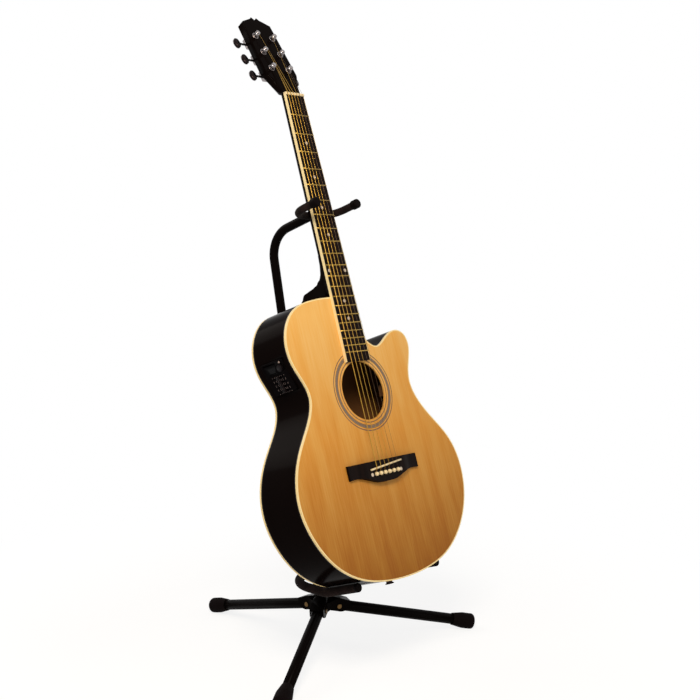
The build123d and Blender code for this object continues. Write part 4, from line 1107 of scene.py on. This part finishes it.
@dataclass
class Studio:
    """Floor, lights, world and camera.

    Attributes:
        guitar: the guitar's frame, by which the camera is placed.
        eye_mm: the camera's place from the nut.
        heading_deg: the camera's turn to the left of straight ahead.
        tilt_deg: how far it looks down.
        roll_deg: its roll about its own axis.
        lens_mm: its focal length on the sensor.
        sensor_mm: the sensor's width.
        aim: the point that the lamps face, in metres.
        ambient: how strongly the world lights the object.
        floor_half: half the floor's side, in metres.
        floor_colour: the floor's sRGB hex colour.
        floor_roughness: how dull the floor is.
        backdrop_share: how much of the floor's look is plain white; the rest shows the shadow.
        backdrop_lift: the white's strength at the stand, where the lit floor beside it is darker.
        shadow_reach: how far from the stand, in metres, the shadow starts and ends its fade.
    """

    guitar: GuitarFrame
    eye_mm: Triple = (-1342.1, -1381.1, -269.2)
    heading_deg: float = -47.07
    tilt_deg: float = 5.04
    roll_deg: float = -0.2
    lens_mm: float = 56.41
    sensor_mm: float = 36.0
    aim: Triple = (0.0, 0.0, 0.55)
    ambient: float = 0.28
    floor_half: float = 12.0
    floor_colour: str = "F4F3F1"
    floor_roughness: float = 0.9
    backdrop_share: float = 0.7
    backdrop_lift: float = 1.16
    shadow_reach: Pair = (0.4, 1.0)

    def camera(self) -> None:
        """Makes the scene's camera."""
        data = bpy.data.cameras.new("camera")
        data.lens = self.lens_mm
        data.sensor_width = self.sensor_mm
        camera = add_object("camera", data)
        camera.location = self.guitar.nut + Vector(self.eye_mm) * MM
        turn = (Matrix.Rotation(math.radians(self.heading_deg), 3, "Z")
                @ Matrix.Rotation(math.radians(90 - self.tilt_deg), 3, "X")
                @ Matrix.Rotation(math.radians(self.roll_deg), 3, "Z"))
        camera.rotation_euler = turn.to_euler()
        bpy.context.scene.camera = camera

    def hang(self, lamp: Lamp) -> None:
        """Hangs a lamp so that it faces the object's middle.

        Args:
            lamp: what it is and where.
        """
        data = bpy.data.lights.new(lamp.name, "AREA")
        data.shape = "SQUARE"
        data.size = lamp.size
        data.energy = lamp.power
        data.color = linear(lamp.colour)[:3]
        light = add_object(lamp.name, data)
        light.location = lamp.place
        light.rotation_mode = "QUATERNION"
        way = Vector(self.aim) - Vector(lamp.place)
        light.rotation_quaternion = way.to_track_quat("-Z", "Y")

    @staticmethod
    def seen_directly(tree: Tree) -> Socket:
        """A value of 1 for what the camera sees, straight or by a mirror or glass, or else 0.

        Args:
            tree: the node tree that needs the value.

        Returns:
            The output socket with the value.
        """
        rays = add_node(tree, "LightPath").outputs
        straight = add_node(tree, "Math", {"operation": "MAXIMUM"},
                            {0: rays["Is Camera Ray"], 1: rays["Is Glossy Ray"]})
        seen = add_node(tree, "Math", {"operation": "MAXIMUM"},
                        {0: straight, 1: rays["Is Transmission Ray"]})
        return seen.outputs[0]

    def floor(self) -> None:
        """Adds a wide pale floor that shows white to the camera and keeps the object's shadow."""
        shape = bmesh.new()
        bmesh.ops.create_grid(shape, x_segments=1, y_segments=1, size=self.floor_half)
        mesh = bpy.data.meshes.new("floor")
        shape.to_mesh(mesh)
        shape.free()
        floor = add_object("floor", mesh)
        material = bpy.data.materials.new("pale_floor")
        material.use_nodes = True
        tree = material.node_tree
        shader = tree.nodes["Principled BSDF"]
        shader.inputs["Base Color"].default_value = linear(self.floor_colour)
        shader.inputs["Roughness"].default_value = self.floor_roughness
        place = add_node(tree, "TexCoord").outputs["Object"]
        away = add_node(tree, "VectorMath", {"operation": "LENGTH"},
                        {"Vector": place}).outputs["Value"]
        near, far = self.shadow_reach
        white, strength = (
            add_node(tree, "MapRange", {"From Min": near, "From Max": far, "To Min": at_stand},
                     {"Value": away})
            for at_stand in (self.backdrop_share, self.backdrop_lift))
        glow = add_node(tree, "Emission", {"Color": linear(WHITE)}, {"Strength": strength})
        share = add_node(tree, "Math", {"operation": "MULTIPLY"},
                         {0: self.seen_directly(tree), 1: white})
        mix = add_node(tree, "MixShader", None, {0: share, 1: shader, 2: glow})
        tree.links.new(mix.outputs[0], tree.nodes["Material Output"].inputs["Surface"])
        mesh.materials.append(material)

    def world(self) -> None:
        """Sets an even pale world that the camera and reflections see as white."""
        world = bpy.data.worlds.new("studio")
        world.use_nodes = True
        tree = world.node_tree
        background = tree.nodes["Background"]
        background.inputs["Color"].default_value = linear(WHITE)
        strength = add_node(tree, "MapRange", {"To Min": self.ambient},
                            {"Value": self.seen_directly(tree)})
        tree.links.new(strength.outputs["Result"], background.inputs["Strength"])
        bpy.context.scene.world = world

    def build(self) -> None:
        """Sets up the whole studio."""
        bpy.context.scene.view_settings.view_transform = "Standard"
        self.camera()
        self.floor()
        self.world()
        for lamp in LAMPS:
            self.hang(lamp)


def main() -> None:
    """Loads the model, dresses every piece and sets up the studio."""
    logging.basicConfig(level=logging.INFO, format="%(name)s: %(message)s")
    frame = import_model()
    shop = Workshop(frame, GuitarFrame.from_model(frame))
    for part in (Body(shop), Neck(shop), Strings(shop), Tuners(shop), Preamp(shop), Stand(shop)):
        LOG.info("dressing %s", type(part).__name__)
        part.dress()
    Studio(shop.guitar).build()


if __name__ == "__main__":
    main()
